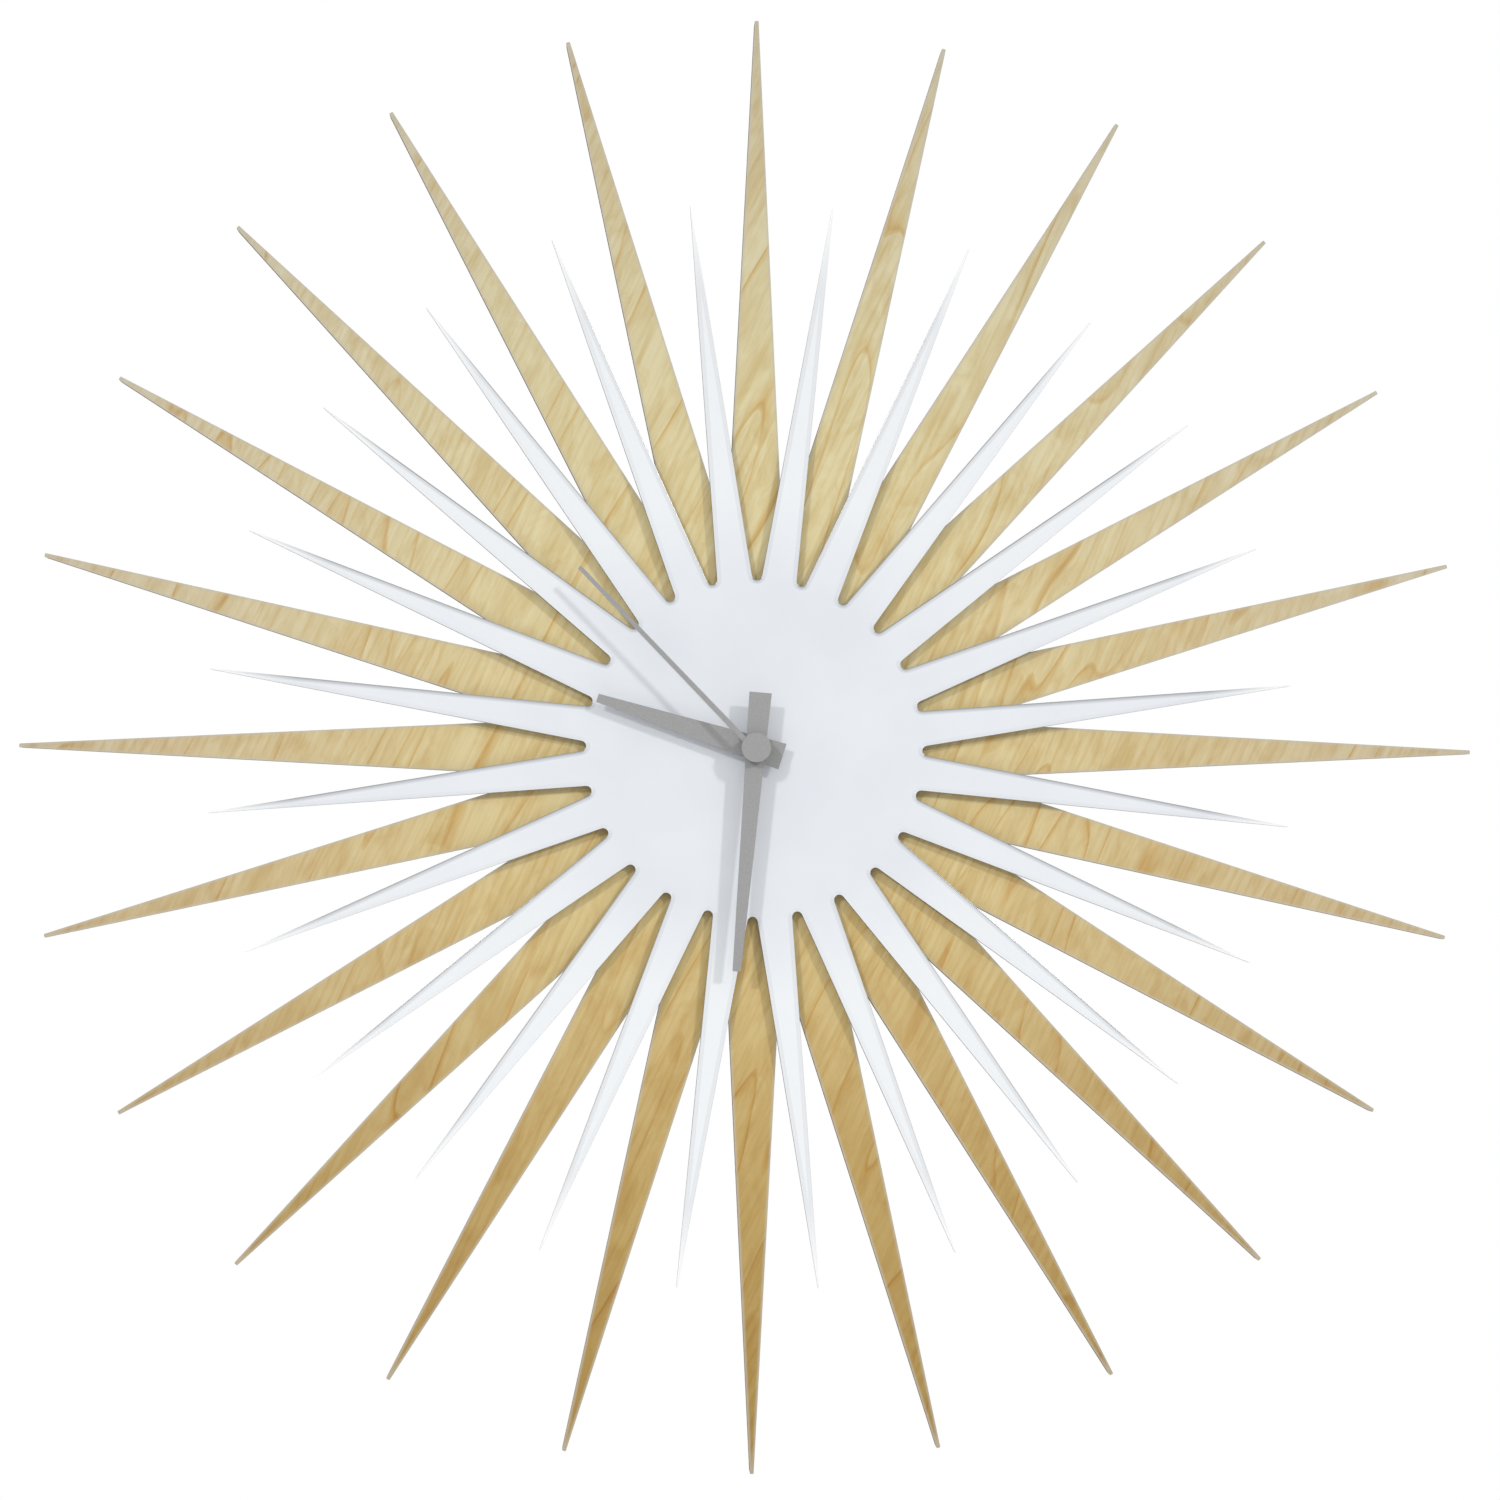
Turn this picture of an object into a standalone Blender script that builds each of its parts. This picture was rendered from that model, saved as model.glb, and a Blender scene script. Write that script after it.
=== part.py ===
"""Sunburst wall clock: a maple star with a white acrylic star laid over it, and a quartz movement.

The clock is drawn in the frame of its dial: x to the right, y up, z out of the wall. One empty turns
that frame upright, so that in the scene the dial faces -Y and +Z is up. The wall is the plane z = 0 of
the dial frame, and the hands turn about its z axis.
"""

import math

import bmesh
import bpy
from mathutils import Matrix, Vector

MM = 0.001
GAP = 0.3 * MM  # between pieces that touch or run on each other
CLEAR = 1 * MM  # how far a cutter reaches past the surface that it opens
SINK = 0.5 * MM  # how deep a joined post or pin reaches into its wall
WELD = 0.001 * MM

# Maple star, the rear layer
RAYS = 24
PITCH = 2 * math.pi / RAYS
MAPLE_TIP_RADIUS = 304.8 * MM
MAPLE_TIP_HALF_WIDTH = 0.8 * MM
MAPLE_TAPER = 0.0500  # half width gained for each unit of length from the tip
MAPLE_THICKNESS = 6.0 * MM
NUT_POCKET_RADIUS = 10.5 * MM
NUT_POCKET_DEPTH = 4.0 * MM

# White star, the front layer, with its rays between the maple ones
WHITE_TIP_RADIUS = 228.0 * MM
WHITE_TIP_HALF_WIDTH = 0.2 * MM
WHITE_TAPER = 0.0458
WHITE_THICKNESS = 3.0 * MM
WHITE_TURN = math.radians(-0.55)  # it was laid on a little clockwise of true
NOTCH_BOTTOM = 70.4 * MM  # how near the centre the round end of each notch comes
WHITE_HOLE_RADIUS = 5.0 * MM
FILM_THICKNESS = 0.2 * MM
FILM_GAP = 0.1 * MM
FILM_RADIUS = 62.0 * MM
FILM_HOLE_RADIUS = 11.5 * MM

# Quartz movement
CASE_HALF = 28.0 * MM
CASE_WALL = 1.0 * MM
CASE_FLOOR = 14.8 * MM  # inner face of the front wall
CASE_FRONT = 16.6 * MM
BAY_FLOOR = 15.0 * MM
SHELF_LOW = -10.6 * MM  # the wall between the battery bay and the wheels
SHELF_HIGH = -9.2 * MM
COVER_THICKNESS = 1.4 * MM
SOCKET_RADIUS = 0.9 * MM
ARBOR_RADIUS = 0.6 * MM

# Stack on the threaded bushing, as heights from the wall
HANGER_LOW = CASE_FRONT + GAP
HANGER_THICKNESS = 0.8 * MM
RUBBER_LOW = HANGER_LOW + HANGER_THICKNESS + GAP
RUBBER_THICKNESS = 1.0 * MM
MAPLE_LOW = RUBBER_LOW + RUBBER_THICKNESS + GAP
MAPLE_HIGH = MAPLE_LOW + MAPLE_THICKNESS
POCKET_FLOOR = MAPLE_HIGH - NUT_POCKET_DEPTH
BRASS_LOW = POCKET_FLOOR + GAP
BRASS_THICKNESS = 0.5 * MM
NUT_LOW = BRASS_LOW + BRASS_THICKNESS + GAP
NUT_THICKNESS = 2.2 * MM
FILM_LOW = MAPLE_HIGH + FILM_GAP
WHITE_LOW = FILM_LOW + FILM_THICKNESS + FILM_GAP
WHITE_HIGH = WHITE_LOW + WHITE_THICKNESS
BUSHING_HIGH = WHITE_HIGH - 1.1 * MM
BUSHING_RADIUS = 4.0 * MM
BUSHING_BORE = 2.65 * MM

# Hands: time shown, lengths and heights
SHOWN_HOUR = 9
SHOWN_MINUTE = 30
SHOWN_SECOND = 52.66
HOUR_HAND_SLIP = math.radians(1.9)  # how far clockwise of true it was pressed on its pipe
MINUTE_HAND_SLIP = math.radians(-0.54)
SECOND_BLADE_ASIDE = 1.2 * MM  # how far the blade lies beside the axis
HAND_THICKNESS = 0.5 * MM
HOUR_HAND_LOW = WHITE_HIGH + 4.2 * MM
MINUTE_HAND_LOW = HOUR_HAND_LOW + 3.1 * MM
SECOND_HAND_LOW = MINUTE_HAND_LOW + 2.9 * MM
HOUR_PIPE_RADIUS = 2.4 * MM
HOUR_PIPE_BORE = 1.75 * MM
MINUTE_PIPE_RADIUS = 1.45 * MM
MINUTE_PIPE_BORE = 0.8 * MM
SECONDS_ARBOR_RADIUS = 0.5 * MM
HUB_RADIUS = 6.1 * MM
HUB_THICKNESS = 1.2 * MM

# Wheel train: every wheel beside the centre stands this far from it
TRAIN_REACH = 9.52 * MM
TOOTH_TIP = 0.8  # in modules, above the pitch circle
TOOTH_ROOT = 1.1  # in modules, below it
TOOTH_SHARE = 0.42  # of the pitch, the rest is gap and backlash
PRESSURE_ANGLE = math.radians(20)
CANNON_TEETH, MOTION_TEETH = 12, 36
MOTION_PINION_TEETH, HOUR_TEETH = 10, 40
THIRD_PINION_TEETH, MINUTE_TEETH = 8, 64
SECONDS_PINION_TEETH, THIRD_TEETH = 8, 60
INTERMEDIATE_PINION_TEETH, SECONDS_TEETH = 8, 48
ROTOR_TEETH, INTERMEDIATE_TEETH = 8, 40
SETTING_TEETH = 12
ROTOR_MODULE = 0.30 * MM
THIRD_BEARING = math.radians(20)
INTERMEDIATE_BEARING = math.radians(160)
MOTION_BEARING = math.radians(90)
ROTOR_BEARING = math.radians(150)
SETTING_BEARING = math.radians(50)

# Battery
CELL_RADIUS = 7.1 * MM
CELL_LENGTH = 49.3 * MM
NUB_RADIUS = 2.7 * MM
NUB_LENGTH = 1.2 * MM
CELL_Y = -18.5 * MM
CELL_Z = 7.6 * MM
CELL_LEFT = -24.6 * MM

COLOURS = {
    "maple": ((0.69, 0.57, 0.34), 0.5, 0.0),
    "white": ((0.80, 0.83, 0.88), 0.25, 0.0),
    "film": ((0.75, 0.75, 0.70), 0.6, 0.0),
    "black": ((0.02, 0.02, 0.022), 0.5, 0.0),
    "grey": ((0.35, 0.35, 0.35), 0.6, 0.0),
    "brass": ((0.70, 0.50, 0.20), 0.3, 1.0),
    "steel": ((0.55, 0.55, 0.56), 0.35, 1.0),
    "nickel": ((0.65, 0.63, 0.58), 0.25, 1.0),
    "rubber": ((0.03, 0.03, 0.03), 0.8, 0.0),
    "acetal": ((0.85, 0.84, 0.78), 0.4, 0.0),
    "copper": ((0.60, 0.22, 0.10), 0.35, 1.0),
    "magnet": ((0.10, 0.10, 0.11), 0.45, 0.8),
    "board": ((0.03, 0.20, 0.08), 0.4, 0.0),
    "cell": ((0.05, 0.12, 0.30), 0.3, 0.0),
}

TAU = 2 * math.pi


def on_circle(centre, radius, angle):
    return Vector((centre[0] + radius * math.cos(angle), centre[1] + radius * math.sin(angle)))


CENTRE = Vector((0, 0))
THIRD_AT = on_circle(CENTRE, TRAIN_REACH, THIRD_BEARING)
INTERMEDIATE_AT = on_circle(CENTRE, TRAIN_REACH, INTERMEDIATE_BEARING)
MOTION_AT = on_circle(CENTRE, TRAIN_REACH, MOTION_BEARING)
ROTOR_AT = on_circle(
    INTERMEDIATE_AT, ROTOR_MODULE * (ROTOR_TEETH + INTERMEDIATE_TEETH) / 2, ROTOR_BEARING
)
SETTING_AT = on_circle(MOTION_AT, TRAIN_REACH, SETTING_BEARING)

for old in list(bpy.data.objects):
    bpy.data.objects.remove(old, do_unlink=True)

clock = bpy.data.collections.new("sunburst_wall_clock")
cutters = bpy.data.collections.new("cutters")
bpy.context.scene.collection.children.link(clock)
bpy.context.scene.collection.children.link(cutters)

dial_frame = bpy.data.objects.new("dial_frame", None)
dial_frame.rotation_euler.x = math.pi / 2
clock.objects.link(dial_frame)


def finish(name):
    """The material of the named finish, made the first time that it is used."""
    made = bpy.data.materials.get(name)
    if made:
        return made
    colour, roughness, metallic = COLOURS[name]
    made = bpy.data.materials.new(name)
    made.use_nodes = True
    shader = made.node_tree.nodes["Principled BSDF"]
    shader.inputs["Base Color"].default_value = (*colour, 1)
    shader.inputs["Roughness"].default_value = roughness
    shader.inputs["Metallic"].default_value = metallic
    return made


def add(name, bm):
    """Turns a bmesh drawn in the dial frame into an object, kept out of sight until it is a piece."""
    bmesh.ops.remove_doubles(bm, verts=bm.verts, dist=WELD)
    mesh = bpy.data.meshes.new(name)
    bm.to_mesh(mesh)
    bm.free()
    obj = bpy.data.objects.new(name, mesh)
    cutters.objects.link(obj)
    obj.hide_render = True
    obj.display_type = "WIRE"
    return obj


def box(name, low, high):
    bm = bmesh.new()
    size = [b - a for a, b in zip(low, high)]
    middle = [(a + b) / 2 for a, b in zip(low, high)]
    place = Matrix.Translation(middle) @ Matrix.Diagonal((*size, 1))
    bmesh.ops.create_cube(bm, size=1, matrix=place)
    return add(name, bm)


def rod(name, at, radius, low, high, sides=20):
    """A cylinder along the dial's z."""
    bm = bmesh.new()
    bmesh.ops.create_cone(
        bm,
        cap_ends=True,
        segments=sides,
        radius1=radius,
        radius2=radius,
        depth=high - low,
        matrix=Matrix.Translation((at[0], at[1], (low + high) / 2)),
    )
    return add(name, bm)


def plate(name, loops, low, high):
    """A flat sheet between two heights from 2D loops: the first is its outline, the others are holes."""
    curve = bpy.data.curves.new(name, "CURVE")
    curve.dimensions = "2D"
    curve.fill_mode = "BOTH"
    curve.extrude = (high - low) / 2
    for loop in loops:
        spline = curve.splines.new("POLY")
        spline.points.add(len(loop) - 1)
        spline.use_cyclic_u = True
        for point, place in zip(spline.points, loop):
            point.co = (place[0], place[1], 0, 1)
    sheet = bpy.data.objects.new(name, curve)
    cutters.objects.link(sheet)
    sheet.location.z = (low + high) / 2
    return as_mesh(sheet)


def as_mesh(curved):
    """Makes a curve object a mesh one, in place."""
    bpy.context.view_layer.update()
    seen = curved.evaluated_get(bpy.context.evaluated_depsgraph_get())
    mesh = bpy.data.meshes.new_from_object(seen)
    place, name = curved.matrix_world.copy(), curved.name
    data = curved.data
    bpy.data.objects.remove(curved, do_unlink=True)
    bpy.data.curves.remove(data)
    bm = bmesh.new()
    bm.from_mesh(mesh)
    bpy.data.meshes.remove(mesh)
    bm.transform(place)
    return add(name, bm)


def turned(name, profile, at=CENTRE, steps=48):
    """A turned piece: (radius, height) pairs down its outer side, spun about the dial's z."""
    mesh = bpy.data.meshes.new(name)
    mesh.from_pydata([(r, 0, z) for r, z in profile], [(i, i + 1) for i in range(len(profile) - 1)], [])
    obj = bpy.data.objects.new(name, mesh)
    cutters.objects.link(obj)
    spin = obj.modifiers.new("spin", "SCREW")
    spin.steps = steps
    spin.render_steps = steps
    spin.use_merge_vertices = True
    spin.merge_threshold = WELD
    baked = apply_stack(obj)
    for vertex in baked.data.vertices:
        vertex.co.x += at[0]
        vertex.co.y += at[1]
    return baked


def apply_stack(obj):
    bpy.context.view_layer.update()
    seen = obj.evaluated_get(bpy.context.evaluated_depsgraph_get())
    mesh = bpy.data.meshes.new_from_object(seen)
    old = obj.data
    obj.modifiers.clear()
    obj.data = mesh
    bpy.data.meshes.remove(old)
    return obj


def combine(obj, others, operation):
    """Joins the others to an object, or cuts them out of it."""
    for other in others:
        step = obj.modifiers.new(other.name, "BOOLEAN")
        step.operation = operation
        step.object = other
        apply_stack(obj)
        bpy.data.objects.remove(other, do_unlink=True)
    return obj


def join(obj, *others):
    return combine(obj, others, "UNION")


def cut(obj, *others):
    return combine(obj, others, "DIFFERENCE")


def piece(name, obj, colour, at=(0, 0, 0)):
    """Names a finished piece, gives it its finish and puts its origin on its own axis or seat."""
    obj.name = name
    obj.data.name = name
    obj.data.materials.clear()
    obj.data.materials.append(finish(colour))
    obj.data.transform(Matrix.Translation(-Vector((at[0], at[1], 0))))
    obj.location = (at[0], at[1], 0)
    obj.parent = dial_frame
    cutters.objects.unlink(obj)
    clock.objects.link(obj)
    obj.hide_render = False
    obj.display_type = "TEXTURED"
    obj.data.shade_smooth()
    obj.data.set_sharp_from_angle(angle=math.radians(35))
    return obj


def ring(radius, sides, at=CENTRE, start=0.0):
    return [on_circle(at, radius, start + TAU * i / sides) for i in range(sides)]


# --- the two stars -------------------------------------------------------------------------------


def ray_end(tip_radius, tip_half_width, angle):
    """The two corners of a ray's blunt end, in the order in which an outline passes them."""
    side = math.atan2(tip_half_width, tip_radius)
    return [on_circle(CENTRE, tip_radius, angle - side), on_circle(CENTRE, tip_radius, angle + side)]


def maple_outline():
    """Straight tapering rays with blunt ends, which meet in valleys hidden under the white star."""
    root_half_width = MAPLE_TIP_HALF_WIDTH + MAPLE_TAPER * MAPLE_TIP_RADIUS
    valley = root_half_width / (math.tan(PITCH / 2) + MAPLE_TAPER) / math.cos(PITCH / 2)
    loop = []
    for ray in range(RAYS):
        middle = math.pi / 2 + ray * PITCH
        loop += ray_end(MAPLE_TIP_RADIUS, MAPLE_TIP_HALF_WIDTH, middle)
        loop.append(on_circle(CENTRE, valley, middle + PITCH / 2))
    return loop


def white_outline():
    """Rays with nearly sharp points, and a notch between each two whose round end meets both sides."""
    root_half_width = WHITE_TIP_HALF_WIDTH + WHITE_TAPER * WHITE_TIP_RADIUS
    spread = math.sin(PITCH / 2) + WHITE_TAPER * math.cos(PITCH / 2)
    end_radius = (NOTCH_BOTTOM * spread - root_half_width) / (math.hypot(1, WHITE_TAPER) - spread)
    quarter = math.pi / 2 - PITCH / 2 - math.atan(WHITE_TAPER)
    arc_steps = 6
    loop = []
    for ray in range(RAYS):
        notch = math.pi / 2 + WHITE_TURN + ray * PITCH
        loop += ray_end(WHITE_TIP_RADIUS, WHITE_TIP_HALF_WIDTH, notch - PITCH / 2)
        end = on_circle(CENTRE, NOTCH_BOTTOM + end_radius, notch)
        for step in range(arc_steps + 1):
            swing = quarter * (1 - 2 * step / arc_steps)
            loop.append(on_circle(end, end_radius, notch + math.pi + swing))
    return loop


maple = plate("maple", [maple_outline(), ring(BUSHING_RADIUS + GAP, 32)], MAPLE_LOW, MAPLE_HIGH)
pocket = rod("pocket", CENTRE, NUT_POCKET_RADIUS, POCKET_FLOOR, MAPLE_HIGH + CLEAR, sides=48)
piece("maple_sunburst", cut(maple, pocket), "maple")

film_loops = [ring(FILM_RADIUS, 64), ring(FILM_HOLE_RADIUS, 32)]
piece("adhesive_film", plate("film", film_loops, FILM_LOW, FILM_LOW + FILM_THICKNESS), "film")

white = plate("white", [white_outline(), ring(WHITE_HOLE_RADIUS, 32)], WHITE_LOW, WHITE_HIGH)
piece("white_sunburst", white, "white")

# --- movement case -------------------------------------------------------------------------------

inner = CASE_HALF - CASE_WALL
case = box("case", (-CASE_HALF, -CASE_HALF, 0), (CASE_HALF, CASE_HALF, CASE_FRONT))
chamber = box("chamber", (-inner, SHELF_HIGH, -CLEAR), (inner, inner, CASE_FLOOR))
bay = box("bay", (-inner, -inner, -CLEAR), (inner, SHELF_LOW, BAY_FLOOR))
cut(case, chamber, bay)

POST_HALF = 1.5 * MM
POST_INSET = inner - POST_HALF - GAP
LOW_POST_X = 14.0 * MM
LOW_POST_Y = SHELF_HIGH + POST_HALF + GAP
COVER_PIN_RADIUS = 0.7 * MM
COVER_PIN_LENGTH = 2.4 * MM
PIN_HOLE_DEPTH = 3.0 * MM
pin_places = [
    (-POST_INSET, POST_INSET),
    (POST_INSET, POST_INSET),
    (-LOW_POST_X, LOW_POST_Y),
    (LOW_POST_X, LOW_POST_Y),
]
post_low = COVER_THICKNESS + GAP
hole_high = post_low + PIN_HOLE_DEPTH
for number, (x, y) in enumerate(pin_places):
    low = (x - POST_HALF, y - POST_HALF, post_low)
    high = (x + POST_HALF, y + POST_HALF, CASE_FLOOR + SINK)
    join(case, box(f"post_{number}", low, high))
    cut(case, rod(f"pin_hole_{number}", (x, y), COVER_PIN_RADIUS + GAP, 0, hole_high, sides=12))

MOTION_POST_RADIUS = 0.8 * MM
MOTION_POST_LOW = 10.8 * MM
join(case, rod("motion_post", MOTION_AT, MOTION_POST_RADIUS, MOTION_POST_LOW, CASE_FLOOR + SINK))

BOARD_LOW = 4.2 * MM
BOARD_THICKNESS = 0.8 * MM
BOARD_LEFT, BOARD_RIGHT = 19.0 * MM, 25.6 * MM
BOARD_BOTTOM, BOARD_TOP = -5.4 * MM, 22.0 * MM
BOARD_POST_RADIUS = 1.2 * MM
board_high = BOARD_LOW + BOARD_THICKNESS
board_middle = (BOARD_LEFT + BOARD_RIGHT) / 2
for number, y in enumerate((BOARD_BOTTOM + 4 * MM, BOARD_TOP - 3 * MM)):
    at = (board_middle, y)
    join(case, rod(f"board_post_{number}", at, BOARD_POST_RADIUS, board_high + GAP, CASE_FLOOR + SINK))

FLANGE_RADIUS = 5.1 * MM
FLANGE_THICKNESS = 0.7 * MM
FLANGE_SEAT = CASE_FLOOR + FLANGE_THICKNESS + GAP
SOCKET_DEPTH = 0.9 * MM
cut(
    case,
    rod("bushing_hole", CENTRE, BUSHING_RADIUS + GAP, CASE_FLOOR - CLEAR, CASE_FRONT + CLEAR, 32),
    rod("flange_seat", CENTRE, FLANGE_RADIUS + GAP, CASE_FLOOR - CLEAR, FLANGE_SEAT, 32),
)
for number, at in enumerate((THIRD_AT, INTERMEDIATE_AT, ROTOR_AT, SETTING_AT)):
    cut(case, rod(f"socket_{number}", at, SOCKET_RADIUS, CASE_FLOOR - CLEAR, CASE_FLOOR + SOCKET_DEPTH))

SLOT_LOW, SLOT_HIGH = 5.5 * MM, 9.5 * MM
STRIP_THICKNESS = 0.5 * MM
POSITIVE_LEFT = 26.2 * MM
NEGATIVE_TAB = (20.5 * MM, 22.5 * MM)
NEGATIVE_STRIP_LOW, NEGATIVE_STRIP_HIGH = 12.3 * MM, 13.0 * MM
cut(
    case,
    box(
        "positive_slot",
        (POSITIVE_LEFT - GAP, SHELF_LOW - CLEAR, SLOT_LOW),
        (inner, SHELF_HIGH + CLEAR, SLOT_HIGH),
    ),
    box(
        "negative_slot",
        (NEGATIVE_TAB[0] - GAP, SHELF_LOW - CLEAR, NEGATIVE_STRIP_LOW - GAP),
        (NEGATIVE_TAB[1] + GAP, SHELF_HIGH + CLEAR, NEGATIVE_STRIP_HIGH + GAP),
    ),
)
piece("movement_case", case, "black")

cover_reach = inner - GAP
cover = box(
    "cover", (-cover_reach, SHELF_HIGH + GAP, 0), (cover_reach, cover_reach, COVER_THICKNESS)
)
BOSS_RADIUS = 1.6 * MM
BOSS_HIGH = 2.4 * MM
BEARING_LOW = 1.0 * MM
KNOB_RADIUS = 4.7 * MM
KNOB_HOLE_RADIUS = KNOB_RADIUS + 0.5 * MM
pin_high = post_low + COVER_PIN_LENGTH
for number, at in enumerate(pin_places):
    join(cover, rod(f"cover_pin_{number}", at, COVER_PIN_RADIUS, SINK, pin_high, sides=12))
for number, at in enumerate((CENTRE, THIRD_AT, INTERMEDIATE_AT, ROTOR_AT)):
    join(cover, rod(f"boss_{number}", at, BOSS_RADIUS, SINK, BOSS_HIGH))
    cut(cover, rod(f"bearing_{number}", at, SOCKET_RADIUS, BEARING_LOW, BOSS_HIGH + CLEAR))
cut(cover, rod("knob_hole", SETTING_AT, KNOB_HOLE_RADIUS, -CLEAR, COVER_THICKNESS + CLEAR, sides=40))
piece("rear_cover", cover, "black")

# --- bushing and what is stacked on it -----------------------------------------------------------

bushing = rod("bushing", CENTRE, BUSHING_RADIUS, CASE_FLOOR, BUSHING_HIGH, 40)
join(bushing, rod("flange", CENTRE, FLANGE_RADIUS, CASE_FLOOR, CASE_FLOOR + FLANGE_THICKNESS, 40))
cut(bushing, rod("bore", CENTRE, BUSHING_BORE, CASE_FLOOR - CLEAR, BUSHING_HIGH + CLEAR, 32))
piece("threaded_bushing", bushing, "brass")

RUBBER_RADIUS = 9.0 * MM
BRASS_RADIUS = 8.0 * MM
NUT_CORNER_RADIUS = 6.95 * MM
around_bushing = ring(BUSHING_RADIUS + GAP, 32)


def stacked(name, outline, low, thickness):
    """A flat piece with a hole that passes the bushing."""
    return plate(name, [outline, around_bushing], low, low + thickness)


piece("rubber_washer", stacked("rubber", ring(RUBBER_RADIUS, 40), RUBBER_LOW, RUBBER_THICKNESS), "rubber")
piece("brass_washer", stacked("brass", ring(BRASS_RADIUS, 40), BRASS_LOW, BRASS_THICKNESS), "brass")
piece("hex_nut", stacked("nut", ring(NUT_CORNER_RADIUS, 6), NUT_LOW, NUT_THICKNESS), "brass")

# The hanger is one steel strip: flat under the clock's boards, then back to the wall, then up it
HANGER_HALF_WIDTH = 7.0 * MM
HANGER_BOTTOM = -9.0 * MM
HANGER_BEND = CASE_HALF + 2.4 * MM
HANGER_TOP = 46.0 * MM
HANGER_WALL_GAP = 0.4 * MM
NAIL_Y = 38.0 * MM
NAIL_HOLE_RADIUS = 3.2 * MM
NAIL_SLOT_HALF_WIDTH = 2.2 * MM
NAIL_SLOT_TOP = 42.0 * MM
hanger_high = HANGER_LOW + HANGER_THICKNESS
past_bend = HANGER_BEND + HANGER_THICKNESS
leg_high = HANGER_WALL_GAP + HANGER_THICKNESS
hanger = box(
    "strip_flat",
    (-HANGER_HALF_WIDTH, HANGER_BOTTOM, HANGER_LOW),
    (HANGER_HALF_WIDTH, past_bend, hanger_high),
)
join(
    hanger,
    box(
        "strip_back",
        (-HANGER_HALF_WIDTH, HANGER_BEND, HANGER_WALL_GAP),
        (HANGER_HALF_WIDTH, past_bend, hanger_high - HANGER_THICKNESS / 2),
    ),
    box(
        "strip_up",
        (-HANGER_HALF_WIDTH, past_bend - HANGER_THICKNESS / 2, HANGER_WALL_GAP),
        (HANGER_HALF_WIDTH, HANGER_TOP, leg_high),
    ),
)
cut(
    hanger,
    rod("hanger_hole", CENTRE, BUSHING_RADIUS + GAP, HANGER_LOW - CLEAR, hanger_high + CLEAR, 32),
    rod("nail_hole", (0, NAIL_Y), NAIL_HOLE_RADIUS, -CLEAR, leg_high + CLEAR, sides=32),
    box(
        "nail_slot",
        (-NAIL_SLOT_HALF_WIDTH, NAIL_Y, -CLEAR),
        (NAIL_SLOT_HALF_WIDTH, NAIL_SLOT_TOP, leg_high + CLEAR),
    ),
    rod("slot_end", (0, NAIL_SLOT_TOP), NAIL_SLOT_HALF_WIDTH, -CLEAR, leg_high + CLEAR, sides=32),
)
piece("hanger_bracket", hanger, "steel")

# --- wheel train ---------------------------------------------------------------------------------


def gear_loop(teeth, module, phase, at):
    """The outline of a gear with straight-sided teeth that follow the involute at tip and root."""
    pitch_radius = module * teeth / 2
    base = pitch_radius * math.cos(PRESSURE_ANGLE)

    def involute(radius):
        angle = math.acos(min(1.0, base / radius))
        return math.tan(angle) - angle

    root, tip = pitch_radius - TOOTH_ROOT * module, pitch_radius + TOOTH_TIP * module
    half = TOOTH_SHARE * math.pi / teeth + involute(pitch_radius)
    loop = []
    for tooth in range(teeth):
        middle = phase + TAU * tooth / teeth
        for side in (-1, 1):
            for radius in (root, tip)[::-side]:
                loop.append(on_circle(at, radius, middle + side * (half - involute(radius))))
    return loop


def gear(name, teeth, module, phase, at, low, high):
    return plate(name, [gear_loop(teeth, module, phase, at)], low, high)


def meshing_phase(bearing, driver_teeth, driver_phase, teeth):
    """The phase of a gear whose teeth sit in the gaps of a driver that looks at it along a bearing."""
    passed = (bearing - driver_phase) * driver_teeth / TAU
    return bearing + math.pi - TAU / teeth * (0.5 - passed)


def module_for(teeth_a, teeth_b):
    return 2 * TRAIN_REACH / (teeth_a + teeth_b)


def bearing_between(a, b):
    return math.atan2(b[1] - a[1], b[0] - a[0])


PIVOT_LOW = 1.3 * MM
PIVOT_HIGH = 15.3 * MM
PIPE_STAND_OUT = 0.3 * MM
HOUR_HIGH = HOUR_HAND_LOW + HAND_THICKNESS + PIPE_STAND_OUT
MINUTE_HIGH = MINUTE_HAND_LOW + HAND_THICKNESS + PIPE_STAND_OUT

# Heights of the wheels and of their pinions, from the wall
HOUR_LAYER = (13.2 * MM, 14.2 * MM)
MINUTE_LAYER = (9.4 * MM, 10.2 * MM)
CANNON_LAYER = (9.8 * MM, 12.7 * MM)
MOTION_LAYER = (11.4 * MM, 12.4 * MM)
MOTION_PINION_LAYER = (11.9 * MM, 14.4 * MM)
SETTING_LAYER = (11.3 * MM, 12.6 * MM)
THIRD_LAYER = (7.0 * MM, 7.8 * MM)
THIRD_PINION_LAYER = (7.4 * MM, 10.6 * MM)
SECONDS_LAYER = (4.8 * MM, 5.6 * MM)
SECONDS_PINION_LAYER = (5.2 * MM, 8.3 * MM)
INTERMEDIATE_LAYER = (2.8 * MM, 3.6 * MM)
INTERMEDIATE_PINION_LAYER = (3.2 * MM, 6.0 * MM)
ROTOR_LAYER = (2.7 * MM, 4.4 * MM)
MAGNET_LAYER = (7.6 * MM, 10.4 * MM)

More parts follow.
